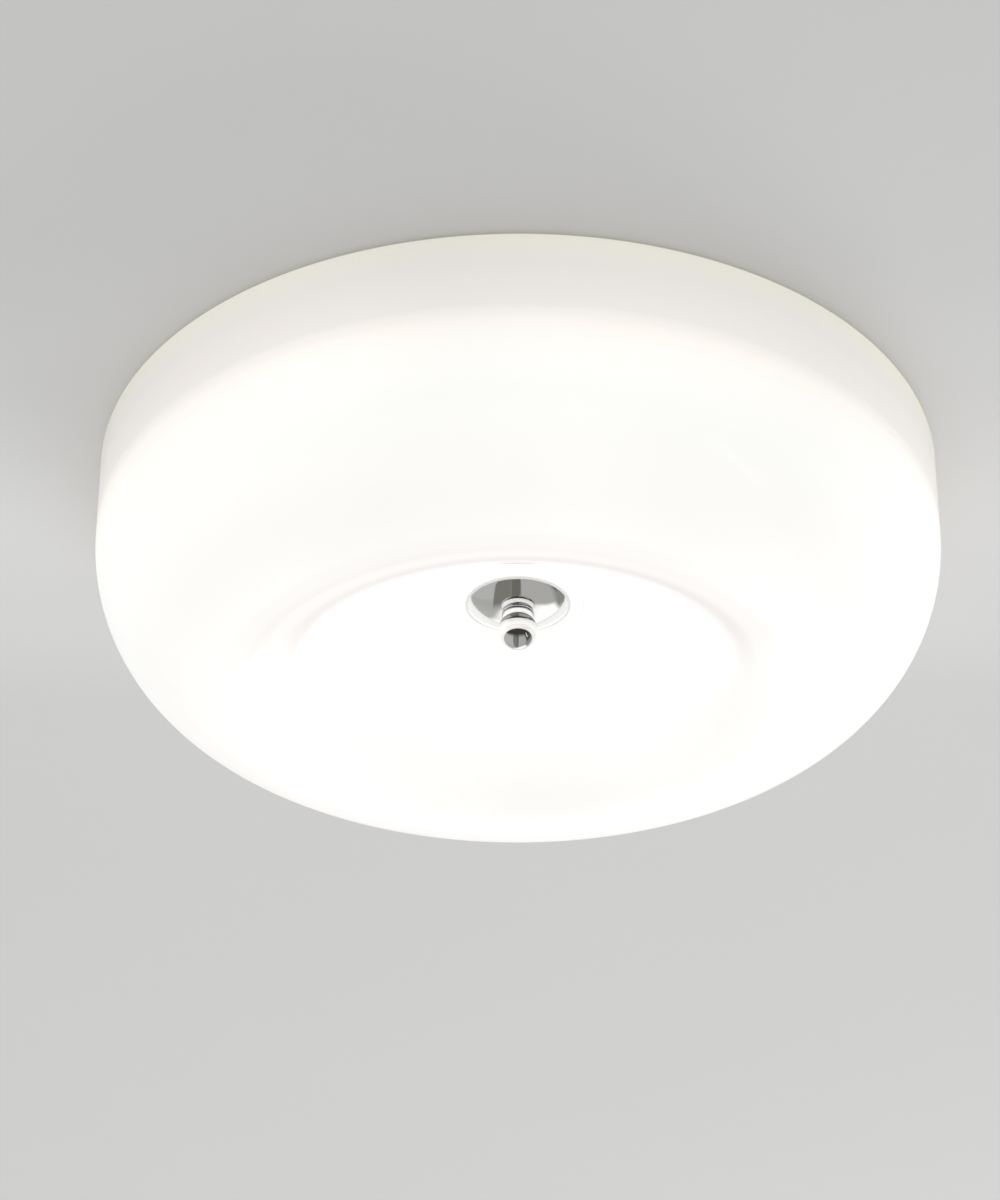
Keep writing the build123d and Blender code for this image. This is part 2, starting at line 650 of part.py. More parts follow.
save("led_board", led_board())
save("led_chips", *led_chips())
save("led_lenses", *led_lenses())
save("led_spacers", *led_spacers())
save("led_board_screws", *[pan_head_screw(x, y, BOARD_BOTTOM_Z, floor + 2, M3_RADIUS, 2.8, 1.9)
                           for x, y in ring_places(SPACER_RING_RADIUS, SPACER_COUNT)])
save("led_connector", led_connector())

save("driver_case", driver_case())
save("driver_lid", driver_lid())
save("driver_board", driver_board())
save("driver_transformer", driver_transformer())
save("driver_capacitors", *driver_capacitors())
save("driver_screws", *[pan_head_screw(x, y, underside, floor + 2.8, M3_RADIUS, 2.8, 1.9)
                        for x, y in driver_screw_places()])

save("terminal_block", terminal_block())
save("terminal_screws", *terminal_screws())
save("terminal_block_screws", *[terminal_block_screw(x) for x in block_screw_places()])
save("earth_lug", earth_lug())
save("earth_screw", earth_screw())
save("wire_grommet", wire_grommet())

for wire_name, route in zip(("light_wire_red", "light_wire_black"), light_wire_routes()):
    wire(wire_name, route, LIGHT_WIRE_RADIUS)
for wire_name, route in zip(("live_wire", "neutral_wire"), mains_routes()):
    wire(wire_name, route, WIRE_RADIUS)
wire("earth_wire", earth_route(), WIRE_RADIUS)
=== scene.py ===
# %% [markdown]
# # A flush mount ceiling light
#
# The lamp is a wide, shallow bowl of opal glass. A polished cap and a ball nut hold it up on a threaded
# rod, and the rod hangs from a white steel pan that a crossbar carries on the ceiling. The construction is
# loaded first as a fixed frame: every piece below is placed by it, in metres, with the ceiling at height
# zero and the lamp's axis on Z.

# %% Load the construction
import json
import math

import bmesh
import bpy
from mathutils import Matrix, Quaternion, Vector


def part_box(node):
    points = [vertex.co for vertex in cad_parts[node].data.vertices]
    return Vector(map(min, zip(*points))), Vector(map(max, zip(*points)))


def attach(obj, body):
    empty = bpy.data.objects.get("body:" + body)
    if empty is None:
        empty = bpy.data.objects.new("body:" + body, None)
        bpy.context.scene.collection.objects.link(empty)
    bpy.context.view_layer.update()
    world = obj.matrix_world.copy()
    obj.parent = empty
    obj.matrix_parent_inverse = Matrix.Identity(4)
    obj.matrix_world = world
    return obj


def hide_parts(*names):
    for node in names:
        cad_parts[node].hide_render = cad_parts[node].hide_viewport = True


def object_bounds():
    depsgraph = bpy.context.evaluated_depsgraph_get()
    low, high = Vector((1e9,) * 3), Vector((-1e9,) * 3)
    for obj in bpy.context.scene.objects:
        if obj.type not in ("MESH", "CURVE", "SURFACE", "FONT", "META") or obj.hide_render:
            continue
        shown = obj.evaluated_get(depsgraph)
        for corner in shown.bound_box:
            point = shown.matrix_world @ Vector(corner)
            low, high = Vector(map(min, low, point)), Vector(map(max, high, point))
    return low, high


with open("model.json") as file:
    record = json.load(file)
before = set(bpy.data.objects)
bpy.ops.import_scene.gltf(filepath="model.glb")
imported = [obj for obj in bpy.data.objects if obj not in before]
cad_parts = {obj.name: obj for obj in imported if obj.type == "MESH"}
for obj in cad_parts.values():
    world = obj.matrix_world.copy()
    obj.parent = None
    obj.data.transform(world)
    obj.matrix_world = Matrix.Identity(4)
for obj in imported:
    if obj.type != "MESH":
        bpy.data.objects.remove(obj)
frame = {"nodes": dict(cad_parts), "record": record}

cad_low, cad_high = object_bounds()
MM = 0.001
print("size in mm:", [round(side / MM) for side in cad_high - cad_low])

# %% [markdown]
# ## Turning a shape
#
# Most of what shows on this lamp was blown in a round mould, spun or turned on a lathe, so most pieces start
# as an outline: half of the cross section, drawn in the XZ plane through a few corners. A vertex is the pen.
# A straight run extrudes the pen, and a rounded corner spins it about the corner's centre, which gives a
# true arc. Spinning the whole outline about the lamp's axis then makes the piece. A screw modifier could do
# that too, but the operator leaves a plain mesh whose seam is closed at once.

# %% Draw an outline
ARC_STEP = math.radians(4)
SMALL_ARC_STEP = math.radians(18)
SMALL_ARC = 5 * MM
LEAST_STEPS = 2
ORIGIN = (0, 0, 0)
UP = (0, 0, 1)
TURN = 2 * math.pi
MERGE = 0.0001 * MM


def spin(mesh, drawn, centre, axis, angle, steps, climb=0.0, close=False):
    """Sweep what is drawn about an axis, climbing at each step, and give back its last copy."""
    made = bmesh.ops.spin(
        mesh, geom=drawn, cent=centre, axis=axis, dvec=(0, 0, climb), angle=angle, steps=steps,
        use_merge=close, use_normal_flip=False, use_duplicate=False)
    return made["geom_last"]


def move_pen(mesh, pen, point):
    """Draw a straight run from the pen to a (radius, height) point, and return the new pen."""
    if pen is None:
        return mesh.verts.new((point[0], 0, point[1]))
    pen = bmesh.ops.extrude_vert_indiv(mesh, verts=[pen])["verts"][0]
    pen.co = (point[0], 0, point[1])
    return pen


def turn_pen(mesh, pen, centre, turn):
    """Draw an arc about a (radius, height) centre. A positive turn goes from +X towards +Z."""
    centre = Vector((centre[0], 0, centre[1]))
    step = SMALL_ARC_STEP if (pen.co - centre).length < SMALL_ARC else ARC_STEP
    steps = max(LEAST_STEPS, math.ceil(abs(turn) / step))
    made = spin(mesh, [pen], centre, (0, -1, 0), turn, steps)
    return next(v for v in made if isinstance(v, bmesh.types.BMVert))


def outline(corners):
    """Draw an outline through (radius, height, rounding) corners; its two ends have no rounding."""
    mesh = bmesh.new()
    pen = None
    for k, (radius, height, rounding) in enumerate(corners):
        corner = Vector((radius, height))
        if not rounding:
            pen = move_pen(mesh, pen, corner)
            continue
        before = (corner - Vector(corners[k - 1][:2])).normalized()
        after = (Vector(corners[k + 1][:2]) - corner).normalized()
        turn = math.atan2(before.cross(after), before.dot(after))
        start = corner - before * rounding * math.tan(abs(turn) / 2)
        side = Vector((-before.y, before.x)) * math.copysign(rounding, turn)
        pen = move_pen(mesh, pen, start)
        pen = turn_pen(mesh, pen, start + side, turn)
    return mesh


def lathe(mesh, segments):
    """Spin all that is drawn a full turn about Z, and close the seam and the poles."""
    spin(mesh, mesh.verts[:] + mesh.edges[:], ORIGIN, UP, TURN, segments, close=True)
    bmesh.ops.remove_doubles(mesh, verts=mesh.verts, dist=MERGE)
    bmesh.ops.recalc_face_normals(mesh, faces=mesh.faces)
    return mesh


print("arc steps in degrees:", round(math.degrees(ARC_STEP)), "and", round(math.degrees(SMALL_ARC_STEP)))

# %% [markdown]
# A finished piece becomes an object at the origin, with its place in its mesh. It rides on one of the lamp's
# bodies, says which finish it has, and stands for the plain part of the construction that it replaces. Faces
# shade smoothly except across edges sharper than 35 degrees.

# %% Finish a piece
SHARP = math.radians(35)


def to_data(mesh, name):
    """Turn a drawn mesh into an object's data."""
    data = bpy.data.meshes.new(name)
    mesh.to_mesh(data)
    mesh.free()
    return data


def put(name, data):
    """A new object with this data, linked to the scene."""
    made = bpy.data.objects.new(name, data)
    bpy.context.scene.collection.objects.link(made)
    return made


def finish_piece(mesh, name, body, materials, replaces):
    data = to_data(mesh, name)
    for material in materials:
        data.materials.append(material)
    data.shade_smooth()
    data.set_sharp_from_angle(angle=SHARP)
    piece = put(name, data)
    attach(piece, body)
    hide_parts(*replaces)
    print(f"{name}: {len(data.polygons)} faces on body {body}")
    return piece


# %% [markdown]
# ## Finishes
#
# Each finish is a small tree of shader nodes round one Principled shader. A few helpers keep the trees short
# to write. Each adds one or two nodes to a tree and gives back the socket that holds the result, and each of
# its values may be a plain number or colour, or the socket of another node.

# %% Node helpers
# a Mix node's two inputs and its output, by kind of value
MIX_SOCKETS = {"RGBA": (6, 7, 2), "FLOAT": (2, 3, 0)}


def feed(tree, socket, value):
    """Link a socket to another one, or set it to a plain value."""
    if isinstance(value, bpy.types.NodeSocket):
        tree.links.new(value, socket)
    else:
        socket.default_value = value


def opaque(color):
    """A plain colour with full alpha, or the socket as it is."""
    return color if isinstance(color, bpy.types.NodeSocket) else (*color, 1)


def add(tree, kind, inputs=None, **settings):
    """A node with these settings and inputs."""
    made = tree.nodes.new("ShaderNode" + kind)
    for key, value in settings.items():
        setattr(made, key, value)
    for socket, value in (inputs or {}).items():
        feed(tree, made.inputs[socket], value)
    return made


def calc(tree, operation, *values, **settings):
    """The result of a Math node."""
    return add(tree, "Math", dict(enumerate(values)), operation=operation, **settings).outputs[0]


def remap(tree, value, low, high, new_low=0.0, new_high=1.0, **settings):
    """Stretch the range from low to high to the new one; values past an end stay at the new end."""
    return add(tree, "MapRange", {0: value, 1: low, 2: high, 3: new_low, 4: new_high}, **settings).outputs[0]


def mix(tree, share, first, second, kind="FLOAT"):
    """Go from the first value to the second as the share goes from nought to one."""
    low, high, result = MIX_SOCKETS[kind]
    return add(tree, "Mix", {0: share, low: first, high: second}, data_type=kind).outputs[result]


def mix_colors(tree, share, first, second):
    return mix(tree, share, opaque(first), opaque(second), "RGBA")


def scaled(tree, color, factor):
    return add(tree, "VectorMath", {0: color, "Scale": factor}, operation="SCALE").outputs[0]


def coordinate(tree, vector, axis):
    return add(tree, "SeparateXYZ", {0: vector}).outputs[axis]


def on_piece(tree):
    """The place on the piece itself, so that a pattern moves with it."""
    return add(tree, "TexCoord").outputs["Object"]


def noise(tree, where, scale, detail, **others):
    made = add(tree, "TexNoise", {"Vector": where, "Scale": scale, "Detail": detail, **others})
    return made.outputs["Fac"]


def axis_distance(tree, where):
    """How far a place is from the lamp's axis."""
    flat = add(tree, "VectorMath", {0: where, 1: (1, 1, 0)}, operation="MULTIPLY").outputs[0]
    return add(tree, "VectorMath", {0: flat}, operation="LENGTH").outputs["Value"]


def facing_up(tree):
    """One where the surface faces straight up, nought on a wall."""
    return coordinate(tree, add(tree, "NewGeometry").outputs["Normal"], "Z")


# %% [markdown]
# Three more helpers start a material, start a node group, and put a group in a tree.

# %% Materials and groups


def start_material(name, **plain):
    """A material whose Principled shader has these plain values, with its tree and shader."""
    material = bpy.data.materials.new(name)
    material.use_nodes = True
    shader = material.node_tree.nodes["Principled BSDF"]
    for socket, value in plain.items():
        shader.inputs[socket.replace("_", " ")].default_value = value
    return material, material.node_tree, shader


def start_group(name, inputs, outputs):
    """A node group; inputs are (label, kind, default) and outputs are (label, kind)."""
    group = bpy.data.node_groups.new(name, "ShaderNodeTree")
    for label, kind, default in inputs:
        socket = group.interface.new_socket(label, in_out="INPUT", socket_type="NodeSocket" + kind)
        socket.default_value = default
    for label, kind in outputs:
        group.interface.new_socket(label, in_out="OUTPUT", socket_type="NodeSocket" + kind)
    return group, group.nodes.new("NodeGroupInput").outputs, group.nodes.new("NodeGroupOutput").inputs


def place_group(tree, group, **values):
    """Put a group in a tree, and give back its outputs."""
    placed = tree.nodes.new("ShaderNodeGroup")
    placed.node_tree = group
    for socket, value in values.items():
        feed(tree, placed.inputs[socket], value)
    return placed.outputs


# %% [markdown]
# Nothing that is made in a factory is one flat colour. Paint, plastic and plating all drift a little in tone
# and gloss over a few centimetres, and that drift is what the first shared group makes: two noises, one
# broad and one fine, lighten and darken a colour and vary the roughness. It works on Object coordinates, so
# the pattern stays on the piece wherever it moves.

# %% Shared group: drift of tone and gloss
FINE_SCALE = 7.0
FINE_SHARE = 0.4
NOISE_MEAN = 0.5 * (1 + FINE_SHARE)

drift, given, result = start_group(
    "tone drift",
    [("Color", "Color", (0.8, 0.8, 0.8, 1)), ("Depth", "Float", 0.1), ("Scale", "Float", 40.0),
     ("Roughness", "Float", 0.4), ("Spread", "Float", 0.1)],
    [("Color", "Color"), ("Roughness", "Float")])
where = on_piece(drift)
broad = noise(drift, where, given["Scale"], 3.0, Roughness=0.55)
fine = noise(drift, where, calc(drift, "MULTIPLY", given["Scale"], FINE_SCALE), 2.0)
both = calc(drift, "MULTIPLY_ADD", fine, FINE_SHARE, broad)
centred = calc(drift, "SUBTRACT", both, NOISE_MEAN)
doubled = calc(drift, "MULTIPLY", given["Depth"], 2.0)
bright = calc(drift, "MULTIPLY_ADD", centred, doubled, 1.0)
gloss = calc(drift, "MULTIPLY_ADD", centred, given["Spread"], given["Roughness"], use_clamp=True)
feed(drift, result["Color"], scaled(drift, given["Color"], bright))
feed(drift, result["Roughness"], gloss)
print("group:", drift.name, "with", len(drift.nodes), "nodes")

# %% [markdown]
# Powder coat and moulded plastic have a skin: a fine pebble that catches the light. The second group gives
# its height, which a Bump node in each material turns into a normal. Dust is the third: it settles on what
# faces up, so it reads the surface's normal and breaks the edge of the dusty area with noise.

# %% Shared group: pebbled skin
skin, given, result = start_group(
    "pebbled skin", [("Grain", "Float", 900.0), ("Ripple", "Float", 60.0), ("Share", "Float", 0.5)],
    [("Height", "Float")])
where = on_piece(skin)
grains = add(skin, "TexVoronoi", {"Vector": where, "Scale": given["Grain"]}, feature="SMOOTH_F1")
ripples = noise(skin, where, given["Ripple"], 2.0)
feed(skin, result["Height"], mix(skin, given["Share"], grains.outputs["Distance"], ripples))
print("group:", skin.name, "with", len(skin.nodes), "nodes")

# %% Shared group: settled dust
DUST = (0.52, 0.49, 0.45)
DUST_ROUGHNESS = 0.9

dust, given, result = start_group(
    "settled dust",
    [("Color", "Color", (0.8, 0.8, 0.8, 1)), ("Roughness", "Float", 0.4), ("Amount", "Float", 0.3)],
    [("Color", "Color"), ("Roughness", "Float")])
level = remap(dust, facing_up(dust), 0.5, 1.0)
broken = remap(dust, noise(dust, on_piece(dust), 55.0, 5.0), 0.3, 0.75)
cover = calc(dust, "MULTIPLY", level, broken)
share = calc(dust, "MULTIPLY", cover, given["Amount"])
feed(dust, result["Color"], mix_colors(dust, share, given["Color"], DUST))
feed(dust, result["Roughness"], mix(dust, share, given["Roughness"], DUST_ROUGHNESS))
print("group:", dust.name, "with", len(dust.nodes), "nodes")

# %% [markdown]
# Every material below uses these groups in the same few ways, so three helpers wire them up: one drives the
# colour and the gloss, one turns a height into a bump, and one bumps with the pebbled skin.

# %% Put the groups to work


def drifting(tree, shader, color, roughness, depth=0.06, spread=0.1, scale=30.0, dusted=0.0):
    """Tone drift, and dust if any, onto the shader's colour and roughness."""
    source = place_group(tree, drift, Color=opaque(color), Depth=depth, Scale=scale, Roughness=roughness,
                         Spread=spread)
    if dusted:
        source = place_group(tree, dust, Color=source["Color"], Roughness=source["Roughness"], Amount=dusted)
    feed(tree, shader.inputs["Base Color"], source["Color"])
    feed(tree, shader.inputs["Roughness"], source["Roughness"])


def bumped(tree, shader, height, distance):
    """Turn a height into the shader's normal; distance is the relief's depth in metres."""
    bump = add(tree, "Bump", {"Height": height, "Distance": distance})
    feed(tree, shader.inputs["Normal"], bump.outputs["Normal"])


def pebbled(tree, shader, distance, grain, ripple=60.0, share=0.5):
    pebbles = place_group(tree, skin, Grain=grain, Ripple=ripple, Share=share)
    bumped(tree, shader, pebbles["Height"], distance)


# %% [markdown]
# ### Opal glass, lit from inside
#
# The bowl is blown from clear glass with a milky layer, and it glows where the ring of lights reaches it.
# The pan hides the lights from the top of the wall, so there the glass shows its own pale grey under a
# weaker glow, and the glow starts with a soft warm edge just below the level of the lights. The glow is an
# emission colour that depends on height, with a slow unevenness like that of blown glass. On the near side
# it is made weaker in the dimple and on the lip, with a trace more red: that is painted shade, and it fades
# out towards the back. A thin dip in the glow at the edge of the ground seat paints a faint shaded ring. A
# real light inside a scattering wall would need far more samples for the same look.

# %% Opal glass
CREST_Z = cad_low.z
GLOW = (
    # height in mm, colour of the glow
    (-5, (0.210, 0.200, 0.146)),
    (-16, (0.195, 0.180, 0.166)),
    (-27, (0.218, 0.192, 0.186)),
    (-38, (0.236, 0.215, 0.210)),
    (-43, (0.308, 0.286, 0.262)),
    (-49, (0.382, 0.348, 0.318)),
    (-57, (0.372, 0.372, 0.358)),
    (-80, (0.328, 0.336, 0.338)),
    (-118, (0.240, 0.238, 0.240)),
)
GLOW_SHARE_AND_PAINTED_SHADE = (
    # radius in mm, share of the glow on the near side, share at the back; low shares paint shade
    # the dip to 0.25 at 31 mm paints a thin shaded ring at the seat's edge
    (30.2, 0.92, 0.92), (31, 0.25, 0.25), (31.8, 0.92, 0.92), (66, 0.78, 0.97), (76, 0.62, 0.97),
    (99, 0.55, 0.97), (104, 0.45, 0.97), (116, 0.45, 0.97), (125, 0.55, 1.0), (134, 0.85, 1.0),
    (142, 1.0, 1.0))
# the tint of the painted shade: where the near side's share is low, a trace more red, less green and blue
PAINTED_SHADE_TINT = (0.08, -0.09, -0.06)
# the near side's shares and their painted shade fade into those of the back between these two places along Y
BACK_STARTS = -65 * MM
BACK_ENDS = -5 * MM
# the glow's factor where the glass is thickest and where it is thinnest
UNEVENNESS = (0.9, 1.08)
GLASS_WAVE = 0.4 * MM


def ramp(tree, value, stops):
    """A smooth colour ramp through (place, colour) stops."""
    made = add(tree, "ValToRGB", {0: value})
    elements = made.color_ramp.elements
    for place, color in stops[1:-1]:
        elements.new(place)
    for element, (place, color) in zip(elements, stops):
        element.position = place
        element.color = (*color, 1)
    made.color_ramp.interpolation = "EASE"
    return made.outputs["Color"]


def glow_by_height(tree, where):
    """The glow's colour at each height, from the ceiling down to the crest."""
    down = remap(tree, coordinate(tree, where, "Z"), 0.0, CREST_Z)
    return ramp(tree, down, [(height * MM / CREST_Z, color) for height, color in GLOW])


def glow_share_and_painted_shade(tree, where):
    """The share of the glow at each radius, with painted shade: it is smallest on the near side's lip."""
    outward = calc(tree, "DIVIDE", axis_distance(tree, where), cad_high.x)
    near_side_painted_shade, behind = [], []
    for radius, share, back_share in GLOW_SHARE_AND_PAINTED_SHADE:
        place = radius * MM / cad_high.x
        near_side_painted_shade.append((place, [share + (1 - share) * tint for tint in PAINTED_SHADE_TINT]))
        behind.append((place, [back_share] * 3))
    back = remap(tree, coordinate(tree, where, "Y"), BACK_STARTS, BACK_ENDS, interpolation_type="SMOOTHSTEP")
    return mix_colors(tree, back, ramp(tree, outward, near_side_painted_shade), ramp(tree, outward, behind))


def opal_glass():
    material, tree, shader = start_material(
        "opal_glass", IOR=1.5, Coat_Weight=0.25, Coat_Roughness=0.06, Emission_Strength=1.0)
    drifting(tree, shader, (0.895, 0.882, 0.848), 0.24, depth=0.012, spread=0.05, scale=9.0)
    where = on_piece(tree)
    uneven = remap(tree, noise(tree, where, 6.0, 1.0), 0.3, 0.7, *UNEVENNESS)
    # the glow times its share, which paints shade on the near side's lip and a ring at the seat's edge
    shared = add(tree, "VectorMath", {0: glow_by_height(tree, where), 1: glow_share_and_painted_shade(tree, where)},
                 operation="MULTIPLY")
    feed(tree, shader.inputs["Emission Color"], scaled(tree, shared.outputs[0], uneven))
    bumped(tree, shader, noise(tree, where, 14.0, 1.0), GLASS_WAVE)
    return material


opal = opal_glass()
print("opal glass glows over", len(GLOW), "heights")

# %% [markdown]
# ### Polished chrome and milky silicone
#
# Chrome is all reflection, so its material is short: a neutral metal, nearly smooth, with the faint smears
# that a cloth leaves, kept to the roughness. The soft ring under the cap is silicone: matt and slightly
# see-through, so it takes some light through its edge with subsurface scattering, and a faint emission
# paints the glow that the lit glass passes into it.

# %% Chrome and silicone
WIPED_ROUGHNESS = (0.03, 0.075)


def chrome():
    material, tree, shader = start_material("polished_chrome", Metallic=1.0)
    tone = place_group(tree, drift, Color=(0.83, 0.83, 0.832, 1), Depth=0.01, Scale=60.0)
    smear = noise(tree, on_piece(tree), 160.0, 4.0, Distortion=1.5)
    feed(tree, shader.inputs["Base Color"], tone["Color"])
    feed(tree, shader.inputs["Roughness"], remap(tree, smear, 0.45, 0.8, *WIPED_ROUGHNESS))
    return material


def silicone():
    # the faint emission colour is painted light: the glow that the lit glass passes into the ring
    material, tree, shader = start_material(
        "milky_silicone", IOR=1.41, Subsurface_Weight=0.3, Subsurface_Radius=(0.002, 0.0018, 0.0016),
        Subsurface_Scale=1.0, Emission_Color=(0.04, 0.04, 0.039, 1), Emission_Strength=1.0)
    drifting(tree, shader, (0.80, 0.80, 0.79), 0.55, depth=0.03, scale=120.0)
    pebbled(tree, shader, 0.04 * MM, grain=2500.0, ripple=300.0)
    return material


polished = chrome()
soft = silicone()
print("materials:", polished.name, soft.name)

# %% [markdown]
# ### Zinc plate, powder coat and the board's mask
#
# The screws, nuts, washers and the crossbar are zinc plated: a pale metal whose crystals give each small
# patch its own tone, with a breath of yellow and blue from the chromate dip. The pan is powder coated, which
# leaves a soft orange peel. The light ring is an aluminium board under white mask, and its tracks show as
# slightly raised rings that join the lights.

# %% Zinc, powder coat, circuit board
LIGHT_RINGS = ((105 * MM, 12), (149 * MM, 20))
TRACK_WIDTH = 5 * MM
ZINC_BLUE = (0.60, 0.66, 0.74)
ZINC_YELLOW = (0.76, 0.72, 0.62)
CRYSTAL_TONES = (0.9, 1.06)


def zinc_plate():
    material, tree, shader = start_material("zinc_plate", Metallic=1.0)
    where = on_piece(tree)
    hue = mix_colors(tree, noise(tree, where, 45.0, 2.0), ZINC_BLUE, ZINC_YELLOW)
    crystals = add(tree, "TexVoronoi", {"Vector": where, "Scale": 420.0, "Randomness": 1.0})
    fleck = add(tree, "SeparateColor", {0: crystals.outputs["Color"]})
    sparkle = remap(tree, fleck.outputs["Red"], 0.0, 1.0, *CRYSTAL_TONES)
    drifting(tree, shader, scaled(tree, hue, sparkle), 0.32, depth=0.05, spread=0.25, scale=90.0, dusted=0.3)
    return material


def powder_coat():
    material, tree, shader = start_material("white_powder_coat", IOR=1.5)
    drifting(tree, shader, (0.86, 0.86, 0.84), 0.38, depth=0.025, scale=14.0, dusted=0.35)
    pebbled(tree, shader, 0.07 * MM, grain=1100.0, ripple=420.0, share=0.6)
    return material


def circuit_mask():
    """White mask on aluminium, with a raised track along each of the two rings of lights."""
    material, tree, shader = start_material("white_board_mask", IOR=1.5)
    radius = axis_distance(tree, on_piece(tree))
    tracks = [calc(tree, "COMPARE", radius, ring, TRACK_WIDTH / 2) for ring, count in LIGHT_RINGS]
    track = calc(tree, "MAXIMUM", *tracks)
    color = mix_colors(tree, track, (0.84, 0.85, 0.82), (0.76, 0.79, 0.74))
    drifting(tree, shader, color, 0.3, depth=0.02, scale=25.0)
    bumped(tree, shader, track, 0.06 * MM)
    return material


zinc = zinc_plate()
enamel = powder_coat()
mask = circuit_mask()
print("materials:", zinc.name, enamel.name, mask.name)

# %% [markdown]
# ### Plastics, rubber and wire
#
# The plastics share one recipe with their own colour, gloss and grain. The lenses are the exception: they
# are clear, with a trace of haze. The light from a chip is pale yellow, the colour of its phosphor.

# %% Plastics
PHOSPHOR_LIGHT = ((0.70, 0.52, 0.26), (0.95, 0.80, 0.50))


def plastic(name, color, roughness, relief=0.04 * MM, grain=1400.0, dusted=0.0):
    material, tree, shader = start_material(name, IOR=1.5)
    drifting(tree, shader, color, roughness, depth=0.03, scale=70.0, dusted=dusted)
    pebbled(tree, shader, relief, grain, ripple=220.0)
    return material


def clear_lens():
    material, tree, shader = start_material(
        "clear_lens", IOR=1.49, Transmission_Weight=1.0, Base_Color=(0.97, 0.98, 0.97, 1))
    haze = place_group(tree, drift, Scale=200.0, Roughness=0.08, Spread=0.12)
    feed(tree, shader.inputs["Roughness"], haze["Roughness"])
    return material


def phosphor():
    material, tree, shader = start_material("phosphor", Emission_Strength=1.0)
    drifting(tree, shader, (0.90, 0.74, 0.25), 0.5, scale=900.0)
    speckle = noise(tree, on_piece(tree), 2500.0, 2.0)
    feed(tree, shader.inputs["Emission Color"], mix_colors(tree, speckle, *PHOSPHOR_LIGHT))
    return material


white_plastic = plastic("white_plastic", (0.82, 0.82, 0.79), 0.45, dusted=0.3)
chip_ceramic = plastic("chip_ceramic", (0.86, 0.86, 0.83), 0.35, relief=0.01 * MM, grain=4000.0)
nylon = plastic("natural_nylon", (0.76, 0.74, 0.66), 0.42, relief=0.05 * MM, dusted=0.25)
circuit_green = plastic("green_mask", (0.03, 0.20, 0.08), 0.28, relief=0.02 * MM, grain=600.0)
coil_tape = plastic("coil_tape", (0.72, 0.50, 0.06), 0.30, relief=0.06 * MM, grain=300.0)
capacitor_sleeve = plastic("capacitor_sleeve", (0.025, 0.025, 0.035), 0.25, relief=0.02 * MM)
rubber = plastic("black_rubber", (0.045, 0.045, 0.045), 0.62, relief=0.06 * MM)
lens = clear_lens()
glowing = phosphor()
print("plastics:", white_plastic.name, chip_ceramic.name, nylon.name, circuit_green.name)
print("more:", coil_tape.name, capacitor_sleeve.name, rubber.name, lens.name, glowing.name)

# %% [markdown]
# Wire insulation is soft PVC: glossier than the moulded plastics, with a faint waviness from being handled.
# The earth wire is green with a yellow stripe along it, which the surface's own facing direction gives: the
# side that faces up is yellow. These finishes go on the construction's own parts, whose shapes are right.

# %% Wire insulation, tinned copper, and the construction's own parts
WIRE_GREEN = (0.04, 0.28, 0.07)
WIRE_YELLOW = (0.82, 0.66, 0.04)
WIRE_GRAIN = 500.0
WIRE_RELIEF = 0.08 * MM


def insulation(name, color):
    return plastic(name, color, 0.3, WIRE_RELIEF, WIRE_GRAIN)


def striped_insulation():
    material, tree, shader = start_material("wire_green_yellow", IOR=1.5)
    stripe = remap(tree, facing_up(tree), 0.25, 0.35)
    drifting(tree, shader, mix_colors(tree, stripe, WIRE_GREEN, WIRE_YELLOW), 0.3, depth=0.03, scale=90.0)
    pebbled(tree, shader, WIRE_RELIEF, WIRE_GRAIN)
    return material


def tinned_copper():
    material, tree, shader = start_material("tinned_copper", Metallic=1.0)
    drifting(tree, shader, (0.74, 0.72, 0.66), 0.3, depth=0.08, spread=0.3, scale=180.0)
    pebbled(tree, shader, 0.04 * MM, grain=700.0)
    return material


finishes = {
    "soft_ring": soft, "white_enamel": enamel, "zinc": zinc, "board_white": mask,
    "white_plastic": white_plastic, "terminal_plastic": nylon, "circuit_green": circuit_green,
    "coil_yellow": coil_tape, "capacitor_black": capacitor_sleeve, "grommet_rubber": rubber,
    "wire_red": insulation("wire_red", (0.55, 0.02, 0.02)),
    "wire_black": insulation("wire_black", (0.02, 0.02, 0.02)),
    "wire_brown": insulation("wire_brown", (0.13, 0.045, 0.02)),
    "wire_blue": insulation("wire_blue", (0.02, 0.09, 0.42)),
    "wire_green_yellow": striped_insulation(), "tinned_copper": tinned_copper(),
}
for subpart in frame["record"]["subparts"]:
    if subpart["material_slot"] in finishes:
        for slot in frame["nodes"][subpart["node"]].material_slots:
            slot.material = finishes[subpart["material_slot"]]
print("finishes on the construction's own parts:", len(finishes))

# %% [markdown]
# ## The opal shade
#
# The shade is one blown shell. Its outside is a straight wall, a wide round corner, and a crest that rolls
# over a lip into a dimple, whose floor rises gently to the flat seat round the rod. The outside is turned as
# an open sheet, the solidify operator gives it the glass's thickness towards the inside, and a bevel rounds
# the ground rim and the edge of the hole.

# %% Opal shade
SHADE_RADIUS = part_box("glass_shade")[1].x
RIM_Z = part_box("glass_shade")[1].z
GLASS = 4 * MM
CORNER_RADIUS = 73 * MM
LIP_RADIUS = 39 * MM
LIP_SLOPE = math.radians(68)
CREST_INNER_RADIUS = 100 * MM
DIMPLE_FILLET = 22 * MM
FLOOR_SLOPE = math.radians(6)
SEAT_RADIUS = 31 * MM
SEAT_Z = -67.5 * MM
SHADE_HOLE = 6 * MM
RIM_ROUNDING = 1.5 * MM
HOLE_ROUNDING = 0.8 * MM
SHADE_SEGMENTS = 240
# places closer than this are the same, and a circle this much wider still counts as within a radius
SAME = 0.01 * MM
MARGIN = 1.01


